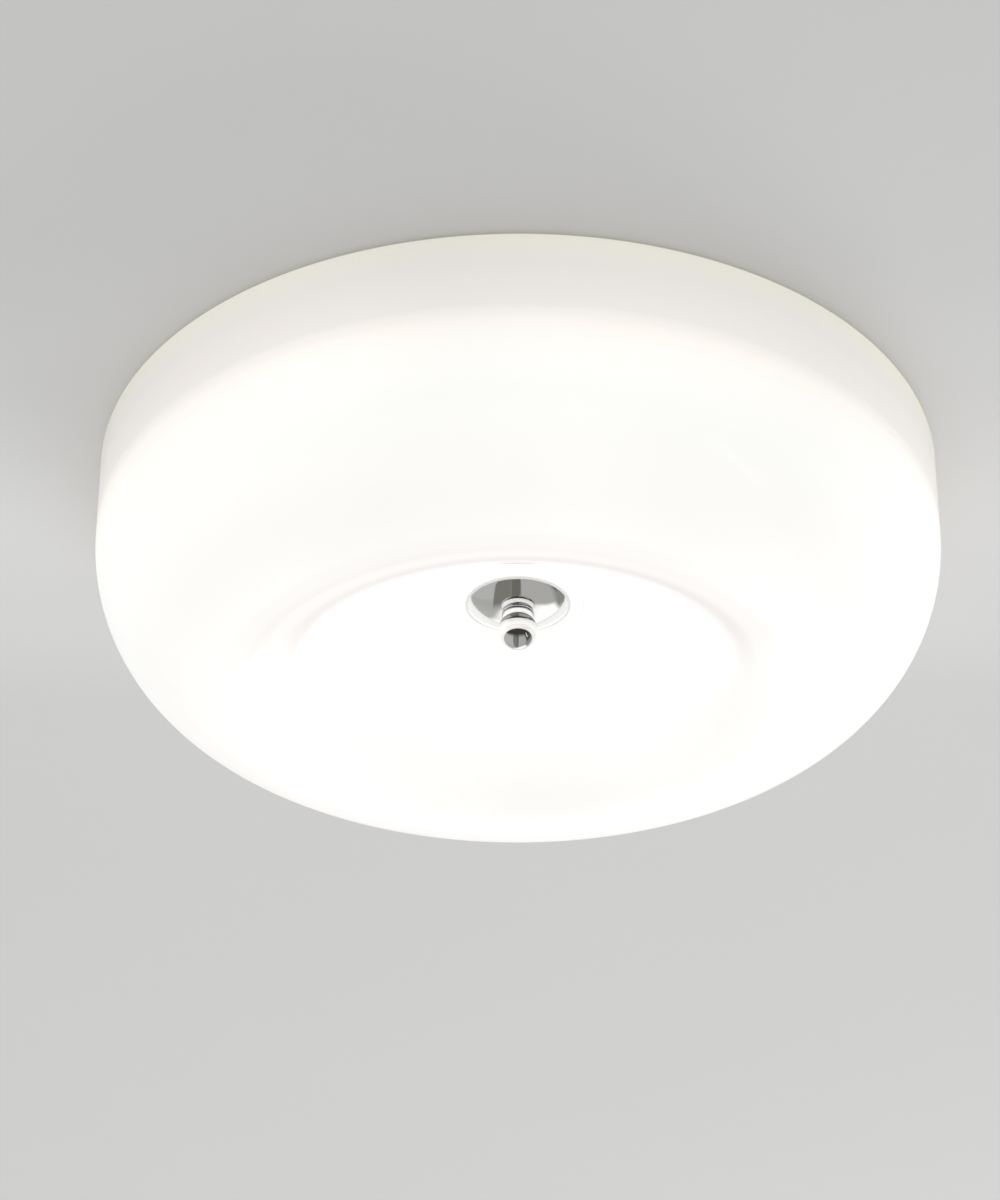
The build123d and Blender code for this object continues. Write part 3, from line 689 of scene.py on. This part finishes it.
def dimple_corner():
    """Where the lip's slope and the dimple's floor would meet."""
    rise = SEAT_Z - CREST_Z - math.tan(FLOOR_SLOPE) * (CREST_INNER_RADIUS - SEAT_RADIUS)
    along = rise / (math.sin(LIP_SLOPE) - math.tan(FLOOR_SLOPE) * math.cos(LIP_SLOPE))
    return CREST_INNER_RADIUS - along * math.cos(LIP_SLOPE), CREST_Z + along * math.sin(LIP_SLOPE)


def round_edges(mesh, edges, rounding, segments):
    bmesh.ops.bevel(mesh, geom=edges, offset=rounding, offset_type="OFFSET", segments=segments, profile=0.5,
                    affect="EDGES", clamp_overlap=True, material=-1)


def round_rims(mesh, height, radius, rounding):
    """Round the circles at one height that are no wider than the radius."""
    rims = [e for e in mesh.edges if all(abs(v.co.z - height) < SAME for v in e.verts)
            and all(v.co.xy.length < MARGIN * radius for v in e.verts)
            and abs(e.verts[0].co.xy.length - e.verts[1].co.xy.length) < SAME]
    round_edges(mesh, rims, rounding, 4)


shell = outline([
    (SHADE_RADIUS, RIM_Z, 0), (SHADE_RADIUS, CREST_Z, CORNER_RADIUS),
    (CREST_INNER_RADIUS, CREST_Z, LIP_RADIUS), (*dimple_corner(), DIMPLE_FILLET),
    (SEAT_RADIUS, SEAT_Z, 0), (SHADE_HOLE, SEAT_Z, 0)])
lathe(shell, SHADE_SEGMENTS)
bmesh.ops.solidify(shell, geom=shell.faces[:], thickness=GLASS)
round_rims(shell, RIM_Z, SHADE_RADIUS, RIM_ROUNDING)
round_rims(shell, SEAT_Z, SHADE_HOLE, HOLE_ROUNDING)
opal_shade = finish_piece(shell, "opal_shade", "shade", [opal], ["glass_shade"])
print("shade box in mm:", [round(s / MM, 2) for s in opal_shade.dimensions])

# %% [markdown]
# ## The cap and its soft ring
#
# The cap is spun from sheet and polished: a flat middle and one wide arc up to the rim, whose edge is rolled
# over a little so that it doesn't cut the ring. The silicone ring fills the cap's hollow and stands out a
# millimetre all round.

# %% Polished cap
CAP_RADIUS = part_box("chrome_cap")[1].x
CAP_RIM_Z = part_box("chrome_cap")[1].z
CAP_LOW_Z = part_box("chrome_cap")[0].z
CAP_FLAT = 9 * MM
CAP_WALL = 1.2 * MM
CAP_INSIDE_Z = CAP_LOW_Z + CAP_WALL
CAP_BORE = 3.3 * MM
CAP_RIM_ROUNDING = 0.35 * MM
CAP_BORE_ROUNDING = 0.3 * MM
CAP_SEGMENTS = 160


def dish(mesh, pen, rim_radius, low_z):
    """Draw the cap's arc from its flat middle up to the rim, tangent to the flat."""
    run = rim_radius - CAP_FLAT
    drop = CAP_RIM_Z - low_z
    radius = (run ** 2 + drop ** 2) / (2 * drop)
    return turn_pen(mesh, pen, (CAP_FLAT, low_z + radius), math.asin(run / radius))


def cap_shell():
    """The cap: up the outside, over the rolled edge and back down the inside."""
    mesh = bmesh.new()
    first = move_pen(mesh, None, (CAP_BORE, CAP_LOW_Z))
    pen = move_pen(mesh, first, (CAP_FLAT, CAP_LOW_Z))
    outer = dish(mesh, pen, CAP_RADIUS, CAP_LOW_Z)
    start = move_pen(mesh, first, (CAP_BORE, CAP_INSIDE_Z))
    pen = move_pen(mesh, start, (CAP_FLAT, CAP_INSIDE_Z))
    inner = dish(mesh, pen, CAP_RADIUS - CAP_WALL, CAP_INSIDE_Z)
    bmesh.ops.contextual_create(mesh, geom=[outer, inner])
    return lathe(mesh, CAP_SEGMENTS)


shell = cap_shell()
round_rims(shell, CAP_RIM_Z, CAP_RADIUS, CAP_RIM_ROUNDING)
round_rims(shell, CAP_LOW_Z, CAP_BORE, CAP_BORE_ROUNDING)
finish_piece(shell, "polished_cap", "cap", [polished], ["chrome_cap"])

# %% Soft ring
SEAT_GAP = 0.05 * MM
RING_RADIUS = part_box("cap_washer")[1].x
RING_BORE = 3.7 * MM
RING_ROUNDING = 0.45 * MM


def ring_body():
    """The ring: its flat top and outer edge, and its underside, which follows the cap's hollow."""
    top = SEAT_Z - SEAT_GAP
    mesh = bmesh.new()
    first = move_pen(mesh, None, (RING_BORE, top))
    pen = move_pen(mesh, first, (RING_RADIUS, top))
    edge = move_pen(mesh, pen, (RING_RADIUS, CAP_RIM_Z))
    pen = move_pen(mesh, first, (RING_BORE, CAP_INSIDE_Z))
    pen = move_pen(mesh, pen, (CAP_FLAT, CAP_INSIDE_Z))
    pen = dish(mesh, pen, CAP_RADIUS - CAP_WALL, CAP_INSIDE_Z)
    bmesh.ops.contextual_create(mesh, geom=[pen, edge])
    return lathe(mesh, CAP_SEGMENTS)


shell = ring_body()
rims = [e for e in shell.edges if all(v.co.xy.length > RING_RADIUS - SAME for v in e.verts)
        and abs(e.verts[0].co.z - e.verts[1].co.z) < SAME]
round_edges(shell, rims, RING_ROUNDING, 3)
finish_piece(shell, "soft_cap_ring", "cap", [soft], ["cap_washer"])

# %% [markdown]
# ## The ball knob
#
# The knob is turned in one piece: a ball, and a collar that bears on the cap. The collar's side bulges a
# little and narrows towards the ball, so it mirrors the white glass, and a sharp crease parts the two. Its
# bore carries the female thread, which only shows when the knob is off, so the bore is drawn as a plain hole
# with a countersunk mouth.

# %% Ball knob
KNOB_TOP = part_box("finial_knob")[1].z
BALL_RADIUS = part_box("finial_knob")[1].x
BALL_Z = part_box("finial_knob")[0].z + BALL_RADIUS
COLLAR_RADIUS = 7.6 * MM
COLLAR_LOW_RADIUS = 7.1 * MM
COLLAR_ROUNDING = 0.6 * MM
COLLAR_SIDE_Z = KNOB_TOP - 1.1 * COLLAR_ROUNDING
COLLAR_BULGE = math.radians(14)
KNOB_BORE = 3.05 * MM
KNOB_BORE_END = -85 * MM
COUNTERSINK = 0.5 * MM
KNOB_SEGMENTS = 128


def knob_body():
    """From the bore over the collar's top, down its bulging side, and round the ball to its lowest point."""
    crease = math.acos(COLLAR_LOW_RADIUS / BALL_RADIUS)
    crease_z = BALL_Z + BALL_RADIUS * math.sin(crease)
    mesh = outline([
        (0, KNOB_BORE_END, 0), (KNOB_BORE, KNOB_BORE_END, 0), (KNOB_BORE, KNOB_TOP - COUNTERSINK, 0),
        (KNOB_BORE + COUNTERSINK, KNOB_TOP, 0), (COLLAR_RADIUS, KNOB_TOP, COLLAR_ROUNDING),
        (COLLAR_RADIUS, COLLAR_SIDE_Z, 0)])
    mesh.verts.ensure_lookup_table()
    pen = max(mesh.verts, key=lambda v: v.index)
    side = Vector((COLLAR_LOW_RADIUS, crease_z)) - pen.co.xz
    bulge_radius = side.length / (2 * math.sin(COLLAR_BULGE / 2))
    inward = Vector((side.y, -side.x)).normalized()
    centre = pen.co.xz + side / 2 + inward * bulge_radius * math.cos(COLLAR_BULGE / 2)
    pen = turn_pen(mesh, pen, centre, -COLLAR_BULGE)
    turn_pen(mesh, pen, (0, BALL_Z), -(math.pi / 2 + crease))
    return lathe(mesh, KNOB_SEGMENTS)


finish_piece(knob_body(), "ball_knob", "knob", [polished], ["finial_knob"])

# %% [markdown]
# ## Screw threads
#
# A thread is a profile that climbs by one pitch in each turn, which is what the spin operator does when it
# gets a shift as well as an angle. Each turn's upper edge lands on the next turn's lower edge, so merging
# doubles closes the surface. It is then cut square at both ends, the cuts are filled, and the end turns are
# pressed in to the lead-in that a die leaves.

# %% Thread helper
THREAD_STEPS = 24
THREAD_DEPTH = 0.61
# the profile's corners: share of the depth, share of the pitch
THREAD_PROFILE = ((0, 0), (0, 0.125), (1, 0.4375), (1, 0.6875), (0, 1))
THREAD_MERGE = 0.001 * MM
SPARE_TURNS = 2
LEAD_IN = 0.19


def thread(radius, pitch, low, high, x=0.0):
    """A threaded rod from low to high, x away from the lamp's axis."""
    root = radius - THREAD_DEPTH * pitch
    start = low - SPARE_TURNS * pitch
    mesh = bmesh.new()
    pen = None
    for sunk, along in THREAD_PROFILE:
        pen = move_pen(mesh, pen, (radius - sunk * THREAD_DEPTH * pitch, start + along * pitch))
    turns = math.ceil((high - low) / pitch) + 2 * SPARE_TURNS
    spin(mesh, mesh.verts[:] + mesh.edges[:], ORIGIN, UP, TURN * turns, turns * THREAD_STEPS,
         climb=pitch / THREAD_STEPS)
    bmesh.ops.remove_doubles(mesh, verts=mesh.verts, dist=THREAD_MERGE)
    for height, side in ((low, -1), (high, 1)):
        cut = bmesh.ops.bisect_plane(
            mesh, geom=mesh.verts[:] + mesh.edges[:] + mesh.faces[:], dist=MERGE, plane_co=(0, 0, height),
            plane_no=(0, 0, side), clear_outer=True)
        ring = [e for e in cut["geom_cut"] if isinstance(e, bmesh.types.BMEdge)]
        bmesh.ops.contextual_create(mesh, geom=ring)
    bmesh.ops.recalc_face_normals(mesh, faces=mesh.faces)
    for vert in mesh.verts:
        spare = min(vert.co.z - low, high - vert.co.z) + root - LEAD_IN * pitch
        if vert.co.xy.length > max(spare, root / 2):
            vert.co.xy *= spare / vert.co.xy.length
    bmesh.ops.translate(mesh, verts=mesh.verts, vec=(x, 0, 0))
    return mesh


# %% Centre rod
ROD_RADIUS = 3 * MM
ROD_PITCH = 1 * MM
rod_low, rod_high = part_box("centre_rod")
rod = thread(ROD_RADIUS, ROD_PITCH, rod_low.z, rod_high.z)
finish_piece(rod, "threaded_rod", "fixed_base", [zinc], ["centre_rod"])

# %% [markdown]
# The two long screws that carry the pan have pan heads above the crossbar. A head is turned like the other
# round pieces, and a boolean cuts its cross recess, which is the one shape here that no lathe or bevel
# gives.

# %% Hanger screws
HANGER_X = 65 * MM
HANGER_RADIUS = 2 * MM
HANGER_PITCH = 0.7 * MM
HEAD_RADIUS = 4 * MM
HEAD_HEIGHT = 2.6 * MM
HEAD_LOW_EDGE = 0.2 * MM
HEAD_DOME = 1.4 * MM
HEAD_SEGMENTS = 48
RECESS = Vector((4.4, 1.0, 2.6)) * MM
RECESS_TAPER = (0.55, 0.8, 1)
hanger_low, hanger_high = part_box("hanger_screws")
head_low = hanger_high.z - HEAD_HEIGHT


def cross_cutter(x):
    """Two crossed bars that narrow towards their lower ends, for the recess in a head."""
    mesh = bmesh.new()
    for turn in (0, math.pi / 2):
        bar = bmesh.ops.create_cube(mesh, size=1)["verts"]
        bmesh.ops.scale(mesh, verts=bar, vec=RECESS)
        bmesh.ops.scale(mesh, verts=[v for v in bar if v.co.z < 0], vec=RECESS_TAPER)
        bmesh.ops.rotate(mesh, verts=bar, cent=ORIGIN, matrix=Matrix.Rotation(turn, 3, "Z"))
    bmesh.ops.translate(mesh, verts=mesh.verts, vec=(x, 0, hanger_high.z))
    return mesh


def boolean(mesh, cutter_mesh):
    """Cut one bmesh from another with the modifier, and give back the result as a bmesh."""
    target, cutter = (put("boolean", to_data(source, "boolean")) for source in (mesh, cutter_mesh))
    modifier = target.modifiers.new("recess", "BOOLEAN")
    modifier.object = cutter
    modifier.operation = "DIFFERENCE"
    modifier.solver = "EXACT"
    modifier.use_self = True
    cut = bmesh.new()
    cut.from_object(target, bpy.context.evaluated_depsgraph_get())
    for used in (target, cutter):
        bpy.data.objects.remove(used)
    return cut


def hanger_screw(x):
    head = lathe(outline([
        (0, head_low, 0), (HEAD_RADIUS, head_low, HEAD_LOW_EDGE),
        (HEAD_RADIUS, hanger_high.z, HEAD_DOME), (0, hanger_high.z, 0)]), HEAD_SEGMENTS)
    bmesh.ops.translate(head, verts=head.verts, vec=(x, 0, 0))
    head = boolean(head, cross_cutter(x))
    shank = thread(HANGER_RADIUS, HANGER_PITCH, hanger_low.z, head_low, x)
    head.from_mesh(to_data(shank, "shank"))
    return head


screws = hanger_screw(-HANGER_X)
screws.from_mesh(to_data(hanger_screw(HANGER_X), "other screw"))
finish_piece(screws, "hanger_bolts", "fixed_base", [zinc], ["hanger_screws"])

# %% [markdown]
# ## The ring of lights
#
# Thirty-two small lights sit in two rings on the board. Each is a white ceramic body with a square window of
# yellow phosphor, under a moulded lens with a small crater at its top that spreads the light sideways. One
# chip and one lens are made at the origin, then copied to every place.

# %% Chips
BOARD_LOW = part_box("led_board")[0].z
CHIP_SIDE = 3 * MM
CHIP = 0.7 * MM
CHIP_ROUNDING = 0.25 * MM
WINDOW_INSET = 0.35 * MM
WINDOW_STEP = 0.05 * MM
WINDOW_DEPTH = 0.08 * MM
light_places = []
for radius, count in LIGHT_RINGS:
    for angle in (math.pi * (2 * k + 1) / count for k in range(count)):
        light_places.append((radius * math.cos(angle), radius * math.sin(angle)))


def in_place(shape, places):
    """Copies of a shape without turning it, for parts whose faces follow X and Y."""
    pattern = shape.verts[:] + shape.edges[:] + shape.faces[:]
    for x, y in places:
        copied = bmesh.ops.duplicate(shape, geom=pattern)["geom"]
        corners = [v for v in copied if isinstance(v, bmesh.types.BMVert)]
        bmesh.ops.translate(shape, verts=corners, vec=(x, y, 0))
    first = [v for v in pattern if isinstance(v, bmesh.types.BMVert)]
    bmesh.ops.delete(shape, geom=first, context="VERTS")
    return shape


chip = bmesh.new()
body = bmesh.ops.create_cube(chip, size=1)["verts"]
bmesh.ops.scale(chip, verts=body, vec=(CHIP_SIDE, CHIP_SIDE, CHIP))
bmesh.ops.translate(chip, verts=body, vec=(0, 0, BOARD_LOW - CHIP / 2))
upright = [e for e in chip.edges if abs(e.verts[0].co.z - e.verts[1].co.z) > CHIP / 2]
round_edges(chip, upright, CHIP_ROUNDING, 3)
window = min(chip.faces, key=lambda f: f.calc_center_median().z)
for thickness, depth in ((WINDOW_INSET, 0), (WINDOW_STEP, -WINDOW_DEPTH)):
    bmesh.ops.inset_region(chip, faces=[window], thickness=thickness, depth=depth, use_even_offset=True)
window.material_index = 1
finish_piece(in_place(chip, light_places), "light_chips", "fixed_base",
             [chip_ceramic, glowing], ["led_chips"])

# %% Lenses
LENS_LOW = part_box("led_lenses")[0].z
LENS_RADIUS = 6.5 * MM
LENS_FOOT = 1.2 * MM
FOOT_ROUNDING = 0.25 * MM
FOOT_TOP_ROUNDING = 0.15 * MM
DOME_RADIUS = 6.0 * MM
SHOULDER_RADIUS = 5.52 * MM
SHOULDER_DROP = 1.8 * MM
SHOULDER_ROUNDING = 2.5 * MM
DOME_TOP_RADIUS = 2.6 * MM
DOME_TOP_ROUNDING = 2.0 * MM
CRATER_RADIUS = 1.2 * MM
CRATER_DEPTH = 0.5 * MM
CRATER_ROUNDING = 0.6 * MM
POCKET_RADIUS = 2.5 * MM
POCKET_DEPTH = 0.9 * MM
POCKET_ROUNDING = 0.2 * MM
LENS_SEGMENTS = 40


def lens_body():
    """Pocket, foot, dome and crater, drawn from the axis and back to it."""
    foot_low = BOARD_LOW - LENS_FOOT
    pocket = BOARD_LOW - POCKET_DEPTH
    mesh = outline([
        (0, pocket, 0), (POCKET_RADIUS, pocket, POCKET_ROUNDING), (POCKET_RADIUS, BOARD_LOW, 0),
        (LENS_RADIUS, BOARD_LOW, FOOT_TOP_ROUNDING), (LENS_RADIUS, foot_low, FOOT_ROUNDING),
        (DOME_RADIUS, foot_low, 0), (SHOULDER_RADIUS, foot_low - SHOULDER_DROP, SHOULDER_ROUNDING),
        (DOME_TOP_RADIUS, LENS_LOW, DOME_TOP_ROUNDING), (CRATER_RADIUS, LENS_LOW, CRATER_ROUNDING),
        (0, LENS_LOW + CRATER_DEPTH, 0)])
    return lathe(mesh, LENS_SEGMENTS)


finish_piece(in_place(lens_body(), light_places), "light_lenses", "fixed_base", [lens],
             ["led_lenses"])

# %% [markdown]
# ## The ceiling and the room
#
# The lamp hangs on a pale painted ceiling, which is the stage here instead of a floor. It shows from below
# only: seen from above its back is transparent, so the fixings stay in view. A round opening over the lamp
# lets light reach them, and the shade's rim hides it from below.

# %% Ceiling
CEILING_HALF = 3.0
OPENING_RADIUS = 0.197
CEILING_SEGMENTS = 128
CEILING_COLOR = (0.640, 0.640, 0.636)
CEILING_SPAN = 0.4
CEILING_PAINTED_LIGHT = (
    # metres from the lamp towards the far side, share of the colour; the shares paint light beside the lamp
    # and shade in front of it
    (-0.40, 0.95), (-0.20, 0.97), (-0.10, 1.03), (0.03, 1.13), (0.12, 1.09), (0.22, 1.01), (0.40, 1.0))


def ceiling_tone_with_painted_light(tree):
    """The paint's colour with painted light: lighter beside the lamp, darker in front of it, plain further
    away.
    """
    where = on_piece(tree)
    along = remap(tree, coordinate(tree, where, "Y"), -CEILING_SPAN, CEILING_SPAN)
    near = ramp(tree, along, [((y + CEILING_SPAN) / (2 * CEILING_SPAN), [share * c for c in CEILING_COLOR])
                              for y, share in CEILING_PAINTED_LIGHT])
    distance = add(tree, "VectorMath", {0: where}, operation="LENGTH").outputs["Value"]
    away = remap(tree, distance, CEILING_SPAN, 3 * CEILING_SPAN, interpolation_type="SMOOTHSTEP")
    return mix_colors(tree, away, near, CEILING_COLOR)


def ceiling_paint():
    material, tree, shader = start_material("ceiling_paint", IOR=1.45)
    drifting(tree, shader, ceiling_tone_with_painted_light(tree), 0.75, depth=0.008, scale=6.0)
    pebbled(tree, shader, 0.1 * MM, grain=380.0, ripple=90.0, share=0.7)
    side = add(tree, "NewGeometry").outputs["Backfacing"]
    see_through = add(tree, "BsdfTransparent").outputs[0]
    one_sided = add(tree, "MixShader", {0: side, 1: shader.outputs[0], 2: see_through})
    feed(tree, tree.nodes["Material Output"].inputs["Surface"], one_sided.outputs[0])
    return material


sheet = bmesh.new()
for radius in (OPENING_RADIUS, CEILING_HALF):
    bmesh.ops.create_circle(sheet, segments=CEILING_SEGMENTS, radius=radius)
bmesh.ops.bridge_loops(sheet, edges=sheet.edges[:])
bmesh.ops.recalc_face_normals(sheet, faces=sheet.faces)
if next(iter(sheet.faces)).normal.z > 0:
    bmesh.ops.reverse_faces(sheet, faces=sheet.faces[:])
ceiling = put("ceiling", to_data(sheet, "ceiling"))
ceiling.data.materials.append(ceiling_paint())
print("ceiling:", round(2 * CEILING_HALF, 1), "m across, opening", round(2 * OPENING_RADIUS / MM), "mm")

# %% [markdown]
# The room below is soft and even for the lamp's own surfaces. Polished metal needs something to reflect, so
# for glossy rays the room has a floor and walls in greys, painted on the world by direction: a pale wall on
# the left, darker furniture in the middle, a bright window far to the back and a narrow bright strip on the
# right. A direction that points down is named by where it meets a floor one unit below: u to the right and v
# to the back.

# %% Room
FILL = (0.86, 0.86, 0.86)
BACKDROP = (0.70, 0.70, 0.69)
NEAR, FAR = (-9.0, 0.0), (9.0, 0.0)
ROOM_CARDS = (
    # colour, then its left, right, near and far side as (place, lean), then softness across and along
    ((0.52, 0.52, 0.515), NEAR, FAR, (1.50, 0.0), FAR, 0.05, 0.45),
    ((0.51, 0.51, 0.500), NEAR, (-0.476, 0.15), NEAR, (0.49, -0.51), 0.03, 0.06),
    ((0.215, 0.212, 0.190), (-0.476, 0.15), (-0.127, 0.07), NEAR, (1.20, 0.0), 0.02, 0.30),
    ((0.165, 0.165, 0.142), (-0.127, 0.07), (0.055, -0.03), NEAR, (1.15, 0.0), 0.015, 0.05),
    ((0.29, 0.29, 0.28), (0.80, 0.0), FAR, NEAR, (1.60, 0.0), 0.15, 0.30),
    ((0.10, 0.10, 0.092), (0.92, 0.0), FAR, NEAR, (0.45, 0.0), 0.08, 0.15),
    ((1.20, 1.20, 1.19), (0.75, -0.50), (0.35, 0.35), (1.08, 0.0), (3.50, 0.0), 0.15, 0.15),
    ((0.05, 0.049, 0.044), NEAR, FAR, NEAR, (-0.60, 0.0), 0.05, 0.38),
    ((1.20, 1.20, 1.18), (1.10, -0.27), (1.25, -0.27), (-1.00, 0.0), (-0.15, 0.0), 0.03, 0.08),
)
ROOM_COLOR = (0.46, 0.455, 0.43)
WALL_COLOR = (0.52, 0.52, 0.50)
# a direction that drops by the first number or more sees the floor, by the second or less the wall
FLOOR_DROP = 0.35
WALL_DROP = 0.15
LEAST_DEPTH = 0.05


def inside(tree, value, other, low, high, softness):
    """One between two sides, nought outside. A side is its place where other is nought, and its lean."""
    made = []
    for (place, lean), ends in ((low, (0.0, 1.0)), (high, (1.0, 0.0))):
        upright = calc(tree, "MULTIPLY_ADD", other, -lean, value)
        made.append(remap(tree, upright, place - softness, place + softness, *ends,
                          interpolation_type="SMOOTHSTEP"))
    return calc(tree, "MULTIPLY", *made)


def room_colors(tree):
    """What polished metal sees of the room, by direction."""
    direction = add(tree, "SeparateXYZ", {0: add(tree, "TexCoord").outputs["Generated"]}).outputs
    depth = calc(tree, "MULTIPLY", direction["Z"], -1.0)
    safe = calc(tree, "MAXIMUM", depth, LEAST_DEPTH)
    u, v = (calc(tree, "DIVIDE", direction[axis], safe) for axis in "XY")
    color = ROOM_COLOR
    for card, left, right, near, far, across, along in ROOM_CARDS:
        covered = calc(tree, "MULTIPLY", inside(tree, u, v, left, right, across),
                       inside(tree, v, u, near, far, along))
        color = mix_colors(tree, covered, color, card)
    level = remap(tree, depth, FLOOR_DROP, WALL_DROP, interpolation_type="SMOOTHSTEP")
    return mix_colors(tree, level, color, WALL_COLOR)


world = bpy.data.worlds.new("room")
bpy.context.scene.world = world
world.use_nodes = True
tree = world.node_tree
ray = add(tree, "LightPath").outputs
seen = calc(tree, "MAXIMUM", ray["Is Camera Ray"], ray["Is Transmission Ray"])
shown = mix_colors(tree, seen, FILL, BACKDROP)
reflected = mix_colors(tree, ray["Is Glossy Ray"], shown, room_colors(tree))
feed(tree, tree.nodes["Background"].inputs["Color"], reflected)
print("room cards:", len(ROOM_CARDS))

# %% [markdown]
# One large soft window lights the lamp from the far side, low and a little to the right, which leaves the
# ceiling in front of the lamp slightly darker. It is hidden from reflections, where the room already shows
# it.

# %% Window light
WINDOW_AZIMUTH = math.radians(28)
WINDOW_DROP = math.radians(27)
WINDOW_DISTANCE = 3.0
WINDOW_SIZE = (1.5, 1.2)
WINDOW_POWER = 18

direction = Vector((math.sin(WINDOW_AZIMUTH) * math.cos(WINDOW_DROP),
                    math.cos(WINDOW_AZIMUTH) * math.cos(WINDOW_DROP), -math.sin(WINDOW_DROP)))
window_light = bpy.data.lights.new("window", "AREA")
window_light.shape = "RECTANGLE"
window_light.size, window_light.size_y = WINDOW_SIZE
window_light.energy = WINDOW_POWER
window_object = put("window", window_light)
window_object.location = direction * WINDOW_DISTANCE
window_object.rotation_mode = "QUATERNION"
window_object.rotation_quaternion = direction.to_track_quat("Z", "Y")
window_object.visible_glossy = False
print("window light at", [round(c, 2) for c in window_object.location])

# %% [markdown]
# ## The camera
#
# The camera stands below and in front of the lamp and looks up at it through a long lens, so that the round
# shade is an ellipse whose near side is at the top of the picture.

# %% Camera
CAMERA_PLACE = Vector((0, -1.44728, -0.96067))
AIM_POINT = Vector((-0.008505, 0, -0.065354))
ROLL = math.radians(0.0717)
LENS_MM = 108
SENSOR_MM = 36

camera_data = bpy.data.cameras.new("camera")
camera_data.lens = LENS_MM
camera_data.sensor_width = SENSOR_MM
camera = put("camera", camera_data)
camera.location = CAMERA_PLACE
camera.rotation_mode = "QUATERNION"
aim = (AIM_POINT - CAMERA_PLACE).to_track_quat("-Z", "Y")
camera.rotation_quaternion = aim @ Quaternion(UP, ROLL)
bpy.context.scene.camera = camera
bpy.context.scene.view_settings.view_transform = "Standard"
print("camera rolled by", round(math.degrees(ROLL), 3), "degrees")
